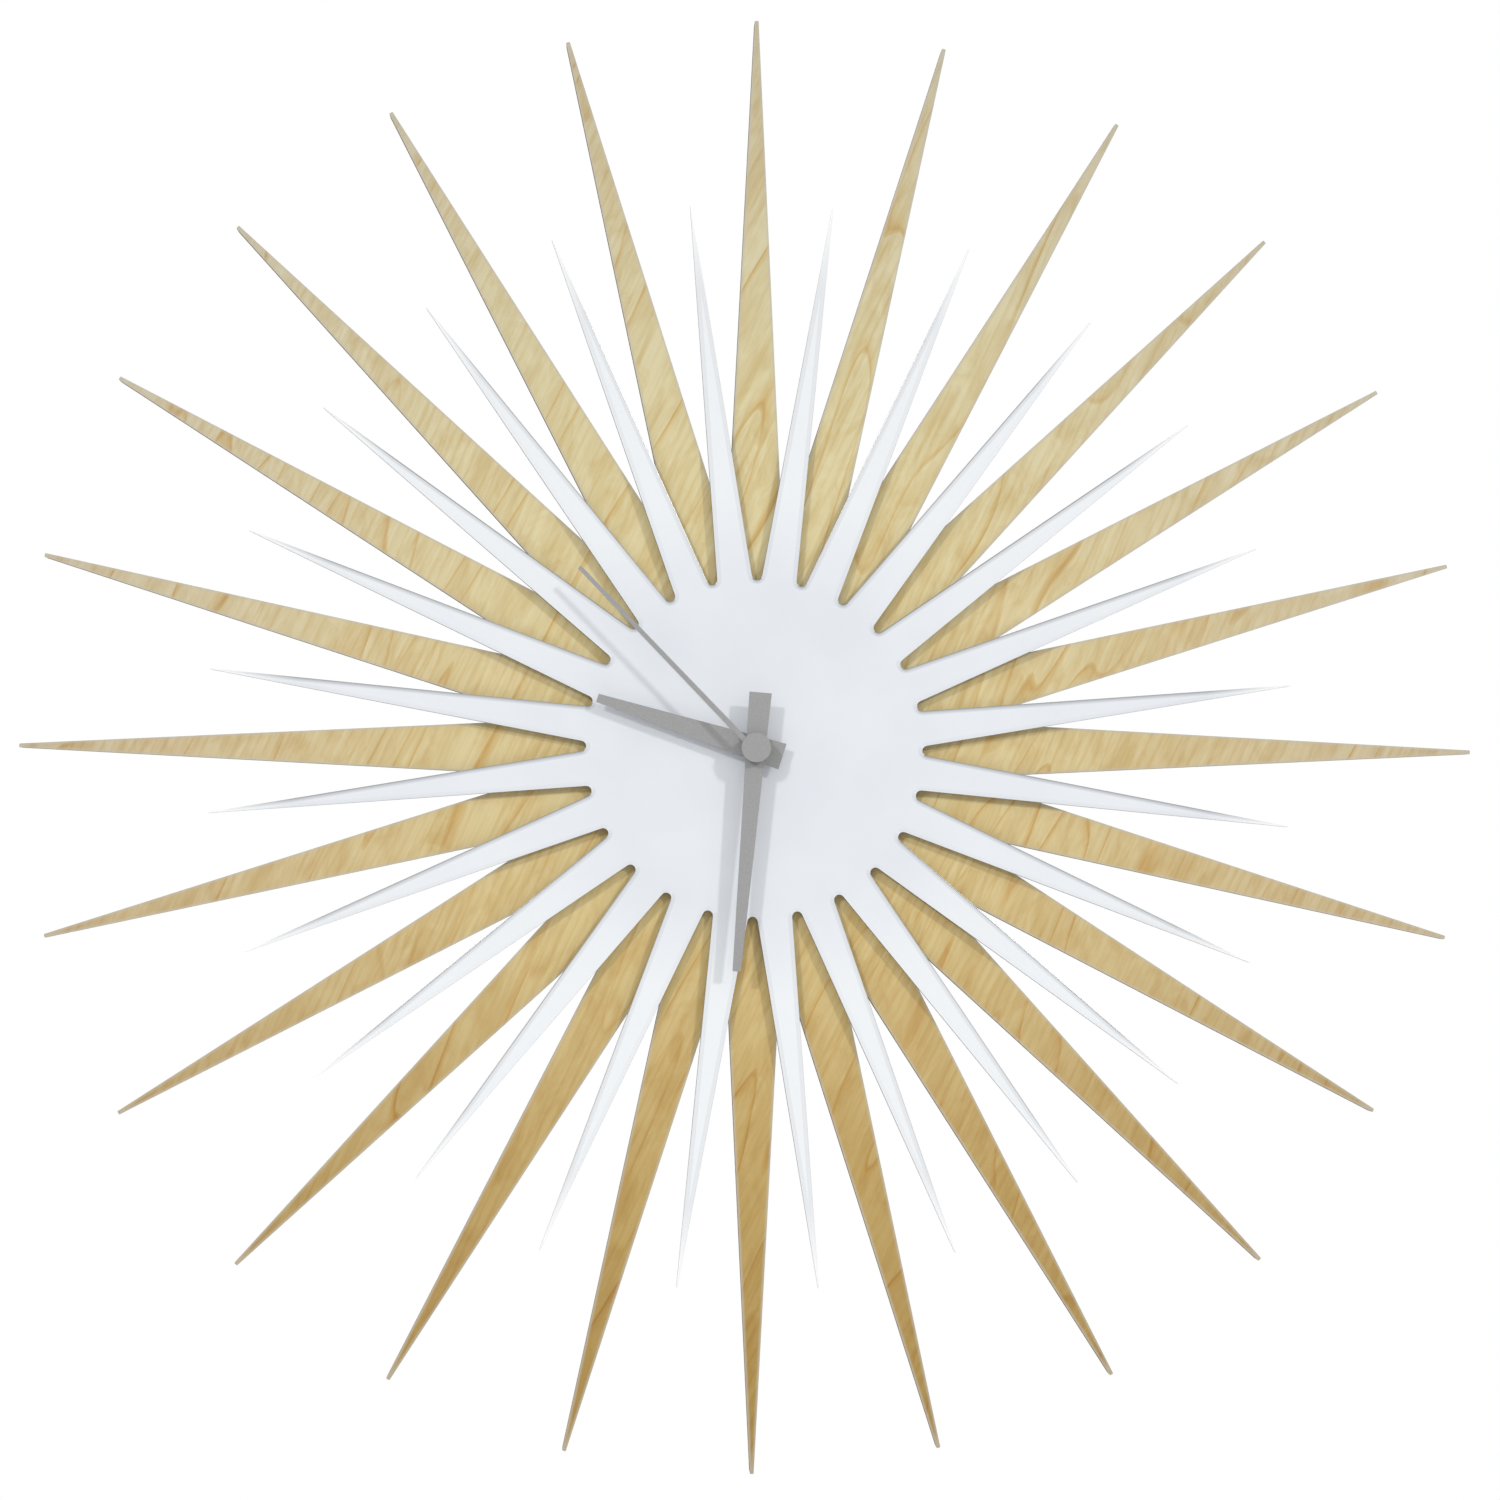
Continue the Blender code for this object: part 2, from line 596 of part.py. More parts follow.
# hour wheel, with the pipe that carries the hour hand
hour_module = module_for(MOTION_PINION_TEETH, HOUR_TEETH)
hour = gear("hour", HOUR_TEETH, hour_module, MOTION_BEARING, CENTRE, *HOUR_LAYER)
join(hour, rod("hour_pipe", CENTRE, HOUR_PIPE_RADIUS, HOUR_LAYER[1] - SINK, HOUR_HIGH, 32))
cut(hour, rod("hour_bore", CENTRE, HOUR_PIPE_BORE, HOUR_LAYER[0] - CLEAR, HOUR_HIGH + CLEAR, 24))
piece("hour_wheel", hour, "acetal")

# minute wheel, with the cannon pinion and the pipe that carries the minute hand
minute_module = module_for(THIRD_PINION_TEETH, MINUTE_TEETH)
cannon_module = module_for(CANNON_TEETH, MOTION_TEETH)
minute = gear("minute", MINUTE_TEETH, minute_module, THIRD_BEARING, CENTRE, *MINUTE_LAYER)
join(
    minute,
    gear("cannon", CANNON_TEETH, cannon_module, MOTION_BEARING, CENTRE, *CANNON_LAYER),
    rod("minute_pipe", CENTRE, MINUTE_PIPE_RADIUS, CANNON_LAYER[1] - SINK, MINUTE_HIGH, 24),
)
bore_low = MINUTE_LAYER[0] - CLEAR
cut(minute, rod("minute_bore", CENTRE, MINUTE_PIPE_BORE, bore_low, MINUTE_HIGH + CLEAR, 20))
piece("minute_wheel", minute, "brass")

# motion wheel, which turns on a post of the case
motion_phase = meshing_phase(MOTION_BEARING, CANNON_TEETH, MOTION_BEARING, MOTION_TEETH)
motion_pinion_phase = meshing_phase(
    MOTION_BEARING, HOUR_TEETH, MOTION_BEARING, MOTION_PINION_TEETH
)
motion = gear("motion", MOTION_TEETH, cannon_module, motion_phase, MOTION_AT, *MOTION_LAYER)
join(
    motion,
    gear(
        "motion_pinion",
        MOTION_PINION_TEETH,
        hour_module,
        motion_pinion_phase,
        MOTION_AT,
        *MOTION_PINION_LAYER,
    ),
)
MOTION_BORE = MOTION_POST_RADIUS + 0.2 * MM
bore_low, bore_high = MOTION_LAYER[0] - CLEAR, MOTION_PINION_LAYER[1] + CLEAR
cut(motion, rod("motion_bore", MOTION_AT, MOTION_BORE, bore_low, bore_high, 20))
piece("motion_wheel", motion, "acetal", MOTION_AT)

# setting wheel: a pinion in mesh with the motion wheel, and a knob in the rear cover
setting_bearing = bearing_between(MOTION_AT, SETTING_AT)
setting_phase = meshing_phase(setting_bearing, MOTION_TEETH, motion_phase, SETTING_TEETH)
KNOB_RIBS = 20
KNOB_GROOVE = 0.35 * MM
KNOB_LOW, KNOB_HIGH = 0.4 * MM, 2.4 * MM
KNOB_FLANGE_RADIUS = 6.0 * MM
KNOB_FLANGE_LOW, KNOB_FLANGE_HIGH = 1.9 * MM, 2.7 * MM
SETTING_ARBOR_RADIUS = 1.0 * MM
SLOT_HALF = Vector((3.0, 0.5)) * MM
SLOT_DEPTH = 0.7 * MM
corners = 4 * KNOB_RIBS
knob_loop = []
for corner in range(corners):
    groove = KNOB_GROOVE if corner % 4 > 1 else 0
    knob_loop.append(on_circle(SETTING_AT, KNOB_RADIUS - groove, TAU * corner / corners))
setting = plate("setting", [knob_loop], KNOB_LOW, KNOB_HIGH)
arbor_high = SETTING_LAYER[0] + SINK
join(
    setting,
    rod("knob_flange", SETTING_AT, KNOB_FLANGE_RADIUS, KNOB_FLANGE_LOW, KNOB_FLANGE_HIGH, 32),
    rod("setting_arbor", SETTING_AT, SETTING_ARBOR_RADIUS, KNOB_FLANGE_HIGH - SINK, arbor_high),
    gear("setting_pinion", SETTING_TEETH, cannon_module, setting_phase, SETTING_AT, *SETTING_LAYER),
    rod("setting_pivot", SETTING_AT, ARBOR_RADIUS, SETTING_LAYER[1] - SINK, PIVOT_HIGH, 12),
)
slot_low = (*(SETTING_AT - SLOT_HALF), 0)
slot_high = (*(SETTING_AT + SLOT_HALF), KNOB_LOW + SLOT_DEPTH)
cut(setting, box("knob_slot", slot_low, slot_high))
piece("setting_wheel", setting, "grey", SETTING_AT)

# third wheel
third_module = module_for(SECONDS_PINION_TEETH, THIRD_TEETH)
third_phase = THIRD_BEARING + math.pi
third_pinion_phase = meshing_phase(THIRD_BEARING, MINUTE_TEETH, THIRD_BEARING, THIRD_PINION_TEETH)
third = gear("third", THIRD_TEETH, third_module, third_phase, THIRD_AT, *THIRD_LAYER)
join(
    third,
    gear(
        "third_pinion",
        THIRD_PINION_TEETH,
        minute_module,
        third_pinion_phase,
        THIRD_AT,
        *THIRD_PINION_LAYER,
    ),
    rod("third_arbor", THIRD_AT, ARBOR_RADIUS, PIVOT_LOW, PIVOT_HIGH, 12),
)
piece("third_wheel", third, "acetal", THIRD_AT)

# seconds wheel, whose long arbor carries the second hand through both pipes
seconds_module = module_for(INTERMEDIATE_PINION_TEETH, SECONDS_TEETH)
seconds_pinion_phase = meshing_phase(
    THIRD_BEARING + math.pi, THIRD_TEETH, third_phase, SECONDS_PINION_TEETH
)
seconds_arbor_high = SECOND_HAND_LOW - 0.6 * MM
seconds = gear("seconds", SECONDS_TEETH, seconds_module, INTERMEDIATE_BEARING, CENTRE, *SECONDS_LAYER)
join(
    seconds,
    gear(
        "seconds_pinion",
        SECONDS_PINION_TEETH,
        third_module,
        seconds_pinion_phase,
        CENTRE,
        *SECONDS_PINION_LAYER,
    ),
    rod("seconds_arbor", CENTRE, SECONDS_ARBOR_RADIUS, PIVOT_LOW, seconds_arbor_high, 12),
)
piece("seconds_wheel", seconds, "acetal")

# intermediate wheel
intermediate_phase = bearing_between(INTERMEDIATE_AT, ROTOR_AT)
intermediate_pinion_phase = meshing_phase(
    INTERMEDIATE_BEARING, SECONDS_TEETH, INTERMEDIATE_BEARING, INTERMEDIATE_PINION_TEETH
)
intermediate = gear(
    "intermediate",
    INTERMEDIATE_TEETH,
    ROTOR_MODULE,
    intermediate_phase,
    INTERMEDIATE_AT,
    *INTERMEDIATE_LAYER,
)
join(
    intermediate,
    gear(
        "intermediate_pinion",
        INTERMEDIATE_PINION_TEETH,
        seconds_module,
        intermediate_pinion_phase,
        INTERMEDIATE_AT,
        *INTERMEDIATE_PINION_LAYER,
    ),
    rod("intermediate_arbor", INTERMEDIATE_AT, ARBOR_RADIUS, PIVOT_LOW, PIVOT_HIGH, 12),
)
piece("intermediate_wheel", intermediate, "acetal", INTERMEDIATE_AT)

# rotor of the step motor, and the magnet on it
rotor_phase = meshing_phase(
    bearing_between(INTERMEDIATE_AT, ROTOR_AT), INTERMEDIATE_TEETH, intermediate_phase, ROTOR_TEETH
)
rotor = gear("rotor", ROTOR_TEETH, ROTOR_MODULE, rotor_phase, ROTOR_AT, *ROTOR_LAYER)
join(rotor, rod("rotor_arbor", ROTOR_AT, ARBOR_RADIUS, PIVOT_LOW, PIVOT_HIGH, 12))
piece("rotor", rotor, "acetal", ROTOR_AT)
MAGNET_RADIUS = 3.2 * MM
magnet_loops = [ring(MAGNET_RADIUS, 24, ROTOR_AT), ring(ARBOR_RADIUS + GAP, 12, ROTOR_AT)]
piece("rotor_magnet", plate("magnet", magnet_loops, *MAGNET_LAYER), "magnet", ROTOR_AT)

# --- step motor ----------------------------------------------------------------------------------

STATOR_LOW, STATOR_HIGH = 8.6 * MM, 9.4 * MM
LEG_LEFT, LEG_RIGHT = -25.5 * MM, -0.8 * MM
LEG_WIDTH = 4.5 * MM
LEG_TOP = 23.4 * MM
LEG_ROOT = 13.2 * MM
STATOR_BOTTOM = 1.5 * MM
STATOR_NOTCH_X = -10.6 * MM  # the plate steps back here to pass the centre wheels
STATOR_BORE = MAGNET_RADIUS + 0.7 * MM
stator_loop = [
    (LEG_LEFT, LEG_TOP),
    (LEG_LEFT, STATOR_BOTTOM + LEG_WIDTH),
    (LEG_LEFT + LEG_WIDTH, STATOR_BOTTOM),
    (STATOR_NOTCH_X, STATOR_BOTTOM),
    (STATOR_NOTCH_X, 6.5 * MM),
    (LEG_RIGHT, 11.5 * MM),
    (LEG_RIGHT, LEG_TOP),
    (LEG_RIGHT - LEG_WIDTH, LEG_TOP),
    (LEG_RIGHT - LEG_WIDTH, LEG_ROOT),
    (LEG_LEFT + LEG_WIDTH, LEG_ROOT),
    (LEG_LEFT + LEG_WIDTH, LEG_TOP),
]
stator = plate("stator", [stator_loop, ring(STATOR_BORE, 32, ROTOR_AT)], STATOR_LOW, STATOR_HIGH)
piece("stator", stator, "steel")

COIL_Y = 21.9 * MM
CORE_HALF_WIDTH = 1.5 * MM
CORE_THICKNESS = 0.8 * MM
CORE_INSET = 0.2 * MM  # from the outer side of each stator leg
core_high = STATOR_LOW - GAP
core_low = core_high - CORE_THICKNESS
core = box(
    "core",
    (LEG_LEFT + CORE_INSET, COIL_Y - CORE_HALF_WIDTH, core_low),
    (LEG_RIGHT - CORE_INSET, COIL_Y + CORE_HALF_WIDTH, core_high),
)
piece("coil_core", core, "steel")

core_z = (core_low + core_high) / 2
BOBBIN_LEFT, BOBBIN_RIGHT = -20.3 * MM, -5.9 * MM
FLANGE_WALL = 0.8 * MM
FLANGE_HALF = 4.1 * MM
TUBE_HALF = (2.6 * MM, 1.5 * MM)
CORE_PASSAGE_HALF = (1.8 * MM, 0.7 * MM)
WINDING_HALF = (3.8 * MM, 3.6 * MM)
TUBE_PASSAGE_HALF = (2.9 * MM, 1.8 * MM)


def block_on_core(name, left, right, half_y, half_z):
    """A block centred on the coil core."""
    return box(name, (left, COIL_Y - half_y, core_z - half_z), (right, COIL_Y + half_y, core_z + half_z))


bobbin = block_on_core("bobbin", BOBBIN_LEFT, BOBBIN_RIGHT, *TUBE_HALF)
flange_left, flange_right = BOBBIN_LEFT + FLANGE_WALL, BOBBIN_RIGHT - FLANGE_WALL
join(
    bobbin,
    block_on_core("flange_left", BOBBIN_LEFT, flange_left, FLANGE_HALF, FLANGE_HALF),
    block_on_core("flange_right", flange_right, BOBBIN_RIGHT, FLANGE_HALF, FLANGE_HALF),
)
cut(bobbin, block_on_core("passage", BOBBIN_LEFT - CLEAR, BOBBIN_RIGHT + CLEAR, *CORE_PASSAGE_HALF))
piece("coil_bobbin", bobbin, "acetal")

winding_left, winding_right = flange_left + GAP, flange_right - GAP
winding = block_on_core("winding", winding_left, winding_right, *WINDING_HALF)
round_off = winding.modifiers.new("round_off", "BEVEL")
round_off.width = 1.2 * MM
round_off.segments = 2
apply_stack(winding)
cut(winding, block_on_core("opening", winding_left - CLEAR, winding_right + CLEAR, *TUBE_PASSAGE_HALF))
piece("coil_winding", winding, "copper")

# --- electronics ---------------------------------------------------------------------------------

board = box("board", (BOARD_LEFT, BOARD_BOTTOM, BOARD_LOW), (BOARD_RIGHT, BOARD_TOP, board_high))
piece("circuit_board", board, "board")

CRYSTAL_RADIUS = 0.8 * MM
CRYSTAL_LENGTH = 6.0 * MM
CRYSTAL_Y = 14.0 * MM
CRYSTAL_EDGE = (0.2 * MM, 0.4 * MM)  # the can's closed end is eased by this much in radius and length
under_board = BOARD_LOW - GAP
crystal = turned(
    "crystal",
    [
        (0, CRYSTAL_LENGTH / 2),
        (CRYSTAL_RADIUS, CRYSTAL_LENGTH / 2),
        (CRYSTAL_RADIUS, -CRYSTAL_LENGTH / 2 + CRYSTAL_EDGE[1]),
        (CRYSTAL_RADIUS - CRYSTAL_EDGE[0], -CRYSTAL_LENGTH / 2),
        (0, -CRYSTAL_LENGTH / 2),
    ],
    steps=16,
)
crystal.data.transform(
    Matrix.Translation((board_middle, CRYSTAL_Y, under_board - CRYSTAL_RADIUS))
    @ Matrix.Rotation(math.pi / 2, 4, "X")
)
piece("quartz_crystal", crystal, "nickel")

CHIP_RADIUS = 2.6 * MM
CHIP_HEIGHT = 1.0 * MM
CHIP_Y = 5.0 * MM
chip_steps = 5
chip_profile = [(0, under_board), (CHIP_RADIUS, under_board)]
for step in range(1, chip_steps):
    angle = math.pi / 2 * step / chip_steps
    drop = CHIP_HEIGHT * math.sin(angle)
    chip_profile.append((CHIP_RADIUS * math.cos(angle), under_board - drop))
chip_profile.append((0, under_board - CHIP_HEIGHT))
piece("chip_cover", turned("chip", chip_profile, (board_middle, CHIP_Y), 20), "black")

# --- battery and its contacts --------------------------------------------------------------------

CONTACT_HALF = 4.5 * MM
POSITIVE_TOP = BOARD_TOP - 4 * MM
positive = box(
    "positive",
    (POSITIVE_LEFT, CELL_Y - CONTACT_HALF, CELL_Z - CONTACT_HALF),
    (POSITIVE_LEFT + STRIP_THICKNESS, CELL_Y + CONTACT_HALF, CELL_Z + CONTACT_HALF),
)
join(
    positive,
    box(
        "positive_strip",
        (POSITIVE_LEFT, CELL_Y, SLOT_LOW + GAP),
        (POSITIVE_LEFT + STRIP_THICKNESS, POSITIVE_TOP, SLOT_HIGH - GAP),
    ),
)
piece("positive_contact", positive, "nickel")

NEGATIVE_LEFT = -26.7 * MM
LEAF_HALF = 1.5 * MM
FOOT_Y = (BOARD_BOTTOM + 0.3 * MM, BOARD_BOTTOM + 1.0 * MM)
negative_right = NEGATIVE_LEFT + STRIP_THICKNESS
strip_top = SHELF_LOW - GAP
negative = box(
    "negative",
    (NEGATIVE_LEFT, CELL_Y - CONTACT_HALF, CELL_Z - CONTACT_HALF),
    (negative_right, strip_top, NEGATIVE_STRIP_HIGH),
)
join(
    negative,
    box(
        "negative_strip",
        (NEGATIVE_LEFT, strip_top - STRIP_THICKNESS, NEGATIVE_STRIP_LOW),
        (NEGATIVE_TAB[1], strip_top, NEGATIVE_STRIP_HIGH),
    ),
    box(
        "negative_tab",
        (NEGATIVE_TAB[0], strip_top - STRIP_THICKNESS, NEGATIVE_STRIP_LOW),
        (NEGATIVE_TAB[1], FOOT_Y[1], NEGATIVE_STRIP_HIGH),
    ),
    box(
        "negative_foot",
        (NEGATIVE_TAB[0], FOOT_Y[0], board_high + GAP),
        (NEGATIVE_TAB[1], FOOT_Y[1], NEGATIVE_STRIP_HIGH),
    ),
    box(
        "spring_leaf",
        (negative_right - STRIP_THICKNESS / 2, CELL_Y - LEAF_HALF, CELL_Z - LEAF_HALF),
        (CELL_LEFT - GAP, CELL_Y + LEAF_HALF, CELL_Z + LEAF_HALF),
    ),
)
piece("negative_contact", negative, "nickel")

EDGE = 0.5 * MM
cell = turned(
    "cell",
    [
        (0, CELL_LENGTH + NUB_LENGTH),
        (NUB_RADIUS, CELL_LENGTH + NUB_LENGTH),
        (NUB_RADIUS, CELL_LENGTH),
        (CELL_RADIUS - EDGE, CELL_LENGTH),
        (CELL_RADIUS, CELL_LENGTH - EDGE),
        (CELL_RADIUS, EDGE),
        (CELL_RADIUS - EDGE, 0),
        (0, 0),
    ],
    steps=40,
)
cell.data.transform(
    Matrix.Translation((CELL_LEFT, CELL_Y, CELL_Z)) @ Matrix.Rotation(math.pi / 2, 4, "Y")
)
piece("aa_cell", cell, "cell")

# --- hands ---------------------------------------------------------------------------------------


# Length, half width at the tip, length of the tail and half width at its end
HOUR_BLADE = (68.8 * MM, 1.8 * MM, 11.8 * MM, 5.6 * MM)
MINUTE_BLADE = (93.0 * MM, 1.7 * MM, 23.0 * MM, 4.65 * MM)
SECOND_BLADE = (104.0 * MM, 0.85 * MM, 0.0, 1.15 * MM)
EYE_GAP = 0.1 * MM


def hand_loop(turns, slip, blade, aside=0.0):
    """A long trapezoid from its narrow end at the tip to its wide end at the tail.

    It points so many turns past twelve and an angle more, and may lie a little beside the axis.
    """
    length, tip_half, tail, tail_half = blade
    angle = math.pi / 2 - TAU * turns - slip
    along = Vector((math.cos(angle), math.sin(angle)))
    across = Vector((-along.y, along.x))
    return [
        along * length + across * (aside - tip_half),
        along * length + across * (aside + tip_half),
        -along * tail + across * (aside + tail_half),
        -along * tail + across * (aside - tail_half),
    ]


def pressed_hand(name, loop, low, boss_radius, boss_depth, pipe_radius):
    """A flat hand with a boss behind it, and an eye through both that grips a pipe."""
    hand = plate(name, [loop], low, low + HAND_THICKNESS)
    join(hand, rod("boss", CENTRE, boss_radius, low - boss_depth, low + HAND_THICKNESS / 2, 32))
    eye_low, eye_high = low - boss_depth - CLEAR, low + HAND_THICKNESS + CLEAR
    cut(hand, rod("eye", CENTRE, pipe_radius + EYE_GAP, eye_low, eye_high, 32))
    piece(name, hand, "grey")


seconds_past = SHOWN_SECOND / 60
minutes_past = (SHOWN_MINUTE + seconds_past) / 60
hours_past = (SHOWN_HOUR + minutes_past) / 12

hour_loop = hand_loop(hours_past, HOUR_HAND_SLIP, HOUR_BLADE)
pressed_hand("hour_hand", hour_loop, HOUR_HAND_LOW, 3.6 * MM, 1.6 * MM, HOUR_PIPE_RADIUS)
minute_loop = hand_loop(minutes_past, MINUTE_HAND_SLIP, MINUTE_BLADE)
pressed_hand("minute_hand", minute_loop, MINUTE_HAND_LOW, 2.6 * MM, 1.3 * MM, MINUTE_PIPE_RADIUS)

# The second hand is fixed in a turned hub disc, whose tube grips the seconds arbor
HUB_LOW = SECOND_HAND_LOW - 0.2 * MM
HUB_TUBE_RADIUS = 1.2 * MM
HUB_TUBE_LENGTH = 1.6 * MM
HUB_SOCKET_HIGH = SECOND_HAND_LOW - 0.3 * MM
tube_low = HUB_LOW - HUB_TUBE_LENGTH
second_loop = hand_loop(seconds_past, 0.0, SECOND_BLADE, SECOND_BLADE_ASIDE)
second_hand = plate("second_hand", [second_loop], SECOND_HAND_LOW, SECOND_HAND_LOW + HAND_THICKNESS)
join(
    second_hand,
    rod("hub", CENTRE, HUB_RADIUS, HUB_LOW, HUB_LOW + HUB_THICKNESS, 48),
    rod("hub_tube", CENTRE, HUB_TUBE_RADIUS, tube_low, SECOND_HAND_LOW, 20),
)
socket_radius = SECONDS_ARBOR_RADIUS + EYE_GAP
cut(second_hand, rod("hub_socket", CENTRE, socket_radius, tube_low - CLEAR, HUB_SOCKET_HIGH, 16))
piece("second_hand", second_hand, "grey")
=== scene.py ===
"""Sunburst wall clock: the finished pieces and their surfaces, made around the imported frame.

World axes are those of the frame: the dial faces -Y, +Z is up, and the wall is the plane y = 0.
Lengths are in metres. A height is a distance from the wall, so it is minus y.
"""

import math

import bmesh
import bpy
from mathutils import Matrix, Vector


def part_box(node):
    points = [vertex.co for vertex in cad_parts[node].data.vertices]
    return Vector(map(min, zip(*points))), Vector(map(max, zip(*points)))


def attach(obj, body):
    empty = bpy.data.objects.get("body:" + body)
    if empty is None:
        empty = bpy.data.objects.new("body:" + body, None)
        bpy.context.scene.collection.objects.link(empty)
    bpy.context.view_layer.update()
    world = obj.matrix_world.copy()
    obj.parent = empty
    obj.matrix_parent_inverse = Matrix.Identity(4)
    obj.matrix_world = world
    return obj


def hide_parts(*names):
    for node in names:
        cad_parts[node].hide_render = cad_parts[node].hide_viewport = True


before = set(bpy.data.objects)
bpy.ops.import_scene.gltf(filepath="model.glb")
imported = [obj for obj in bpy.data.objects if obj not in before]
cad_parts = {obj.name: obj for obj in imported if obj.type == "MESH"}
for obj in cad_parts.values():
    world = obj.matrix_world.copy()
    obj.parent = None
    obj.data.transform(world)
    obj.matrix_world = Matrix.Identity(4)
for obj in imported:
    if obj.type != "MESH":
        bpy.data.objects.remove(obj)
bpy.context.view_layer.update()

# --- Camera ---------------------------------------------------------------------------------------
# It stands just under a metre in front of the dial, a little to the left of the hands' axis and below
# it. A small shift keeps the dial in the middle of the frame.

camera = bpy.data.objects.new("camera", bpy.data.cameras.new("camera"))
bpy.context.scene.collection.objects.link(camera)
camera.data.lens = 50
camera.data.sensor_width = 36
camera.data.clip_start = 0.05
camera.data.shift_x = 0.0296
camera.data.shift_y = 0.0604
turned_left, tipped_down, rolled = (math.radians(angle) for angle in (-2.205, -0.319, -0.189))
camera.matrix_world = (
    Matrix.Translation((-0.0539, -0.8979, -0.0337))
    @ Matrix.Rotation(turned_left, 4, "Z")
    @ Matrix.Rotation(tipped_down, 4, "X")
    @ Matrix.Rotation(rolled, 4, "Y")
    @ Matrix.Rotation(math.pi / 2, 4, "X")
)
bpy.context.scene.camera = camera

# --- Maple star -----------------------------------------------------------------------------------
# The rear layer: 24 tapering rays cut by laser from one 6 mm sheet of maple-faced plywood, under a
# clear matt lacquer. The cut leaves the edges scorched brown and the face corners barely eased.

MM = 0.001
RAYS = 24
PITCH = 2 * math.pi / RAYS
low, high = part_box("maple_sunburst")
wall_to_front, wall_to_back = -low.y, -high.y
MAPLE_TIP_RADIUS = high.z
MAPLE_TIP_HALF_WIDTH = 0.8 * MM
MAPLE_TAPER = 0.0500
POCKET_RADIUS = 10.5 * MM
POCKET_DEPTH = 4.0 * MM
BUSHING_HOLE_RADIUS = 4.3 * MM
EASED_CORNER = 0.35 * MM
EASED_ANGLE = math.radians(28)  # edges sharper than this are eased
GREY_RIM_WIDTH = 1.3 * MM
WELD = 0.001 * MM  # points nearer than this are one point


def linear(hex_colour):
    """An sRGB hex colour as a linear RGBA tuple."""
    parts = [int(hex_colour[start : start + 2], 16) / 255 for start in (0, 2, 4)]
    return (*[c / 12.92 if c <= 0.04045 else ((c + 0.055) / 1.055) ** 2.4 for c in parts], 1)


def add(tree, kind, settings=None, sockets=None):
    """Adds a shader node. A socket takes a value, or another node's output, which is linked to it."""
    node = tree.nodes.new("ShaderNode" + kind)
    for name, value in (settings or {}).items():
        if name == "stops":
            ramp = node.color_ramp.elements
            ramp[0].position, ramp[1].position = 0, 1
            for number, (position, colour) in enumerate(value):
                stop = ramp[number] if number < 2 else ramp.new(1)
                stop.position, stop.color = position, colour
        else:
            setattr(node, name, value)
    for name, value in (sockets or {}).items():
        if isinstance(value, bpy.types.NodeSocket):
            tree.links.new(value, node.inputs[name])
        else:
            node.inputs[name].default_value = value
    return node


def material(name, base, roughness, metallic=0.0):
    """A material with one Principled shader, and the tree and shader to build on."""
    made = bpy.data.materials.new(name)
    made.use_nodes = True
    tree = made.node_tree
    shader = tree.nodes["Principled BSDF"]
    shader.inputs["Base Color"].default_value = linear(base)
    shader.inputs["Roughness"].default_value = roughness
    shader.inputs["Metallic"].default_value = metallic
    return made, tree, shader


def on_dial(radius, angle, height):
    """A point of the dial by its radius, its angle from +X towards +Z, and its height off the wall."""
    return Vector((radius * math.cos(angle), -height, radius * math.sin(angle)))


def ray_end(tip_radius, tip_half_width, angle, height):
    """The two corners of a ray's blunt end."""
    side = math.atan2(tip_half_width, tip_radius)
    return [on_dial(tip_radius, angle - side, height), on_dial(tip_radius, angle + side, height)]


def maple_loop(height, inset=0.0):
    """The outline at one height, drawn in by a distance: two corners at each tip, and a valley."""
    root_half_width = MAPLE_TIP_HALF_WIDTH + MAPLE_TAPER * MAPLE_TIP_RADIUS
    valley = root_half_width / (math.tan(PITCH / 2) + MAPLE_TAPER) / math.cos(PITCH / 2)
    valley -= inset / math.sin(PITCH / 2 + math.atan(MAPLE_TAPER))
    drawn_in = MAPLE_TIP_RADIUS - (inset - MAPLE_TIP_HALF_WIDTH) / MAPLE_TAPER
    loop = []
    for ray in range(RAYS):
        middle = math.pi / 2 + ray * PITCH
        if inset:
            loop += [on_dial(drawn_in, middle, height)] * 2
        else:
            loop += ray_end(MAPLE_TIP_RADIUS, MAPLE_TIP_HALF_WIDTH, middle, height)
        loop.append(on_dial(valley, middle + PITCH / 2, height))
    return loop


def circle_like(loop, radius, height):
    """A circle whose points stand at the same angles as the points of a loop."""
    return [on_dial(radius, math.atan2(point.z, point.x), height) for point in loop]


def loft(name, loops, closed=False):
    """A skin through loops of equally many points, in order; closed joins the last to the first."""
    bm = bmesh.new()
    rows = [[bm.verts.new(point) for point in loop] for loop in loops]
    count = len(rows[0])
    pairs = list(zip(rows, rows[1:])) + ([(rows[-1], rows[0])] if closed else [])
    for row, next_row in pairs:
        for i in range(count):
            j = (i + 1) % count
            bm.faces.new((row[i], row[j], next_row[j], next_row[i]))
    if not closed:
        bm.faces.new(rows[0])
        bm.faces.new(rows[-1])
    bmesh.ops.remove_doubles(bm, verts=bm.verts, dist=WELD)
    bmesh.ops.recalc_face_normals(bm, faces=bm.faces)
    mesh = bpy.data.meshes.new(name)
    bm.to_mesh(mesh)
    bm.free()
    piece = bpy.data.objects.new(name, mesh)
    bpy.context.scene.collection.objects.link(piece)
    return piece


def bevel(piece, width):
    """Rounds a piece's sharp edges with a live Bevel."""
    step = piece.modifiers.new("eased edges", "BEVEL")
    step.width = width
    step.segments = 2
    step.limit_method = "ANGLE"
    step.angle_limit = EASED_ANGLE
    step.use_clamp_overlap = True
    return piece


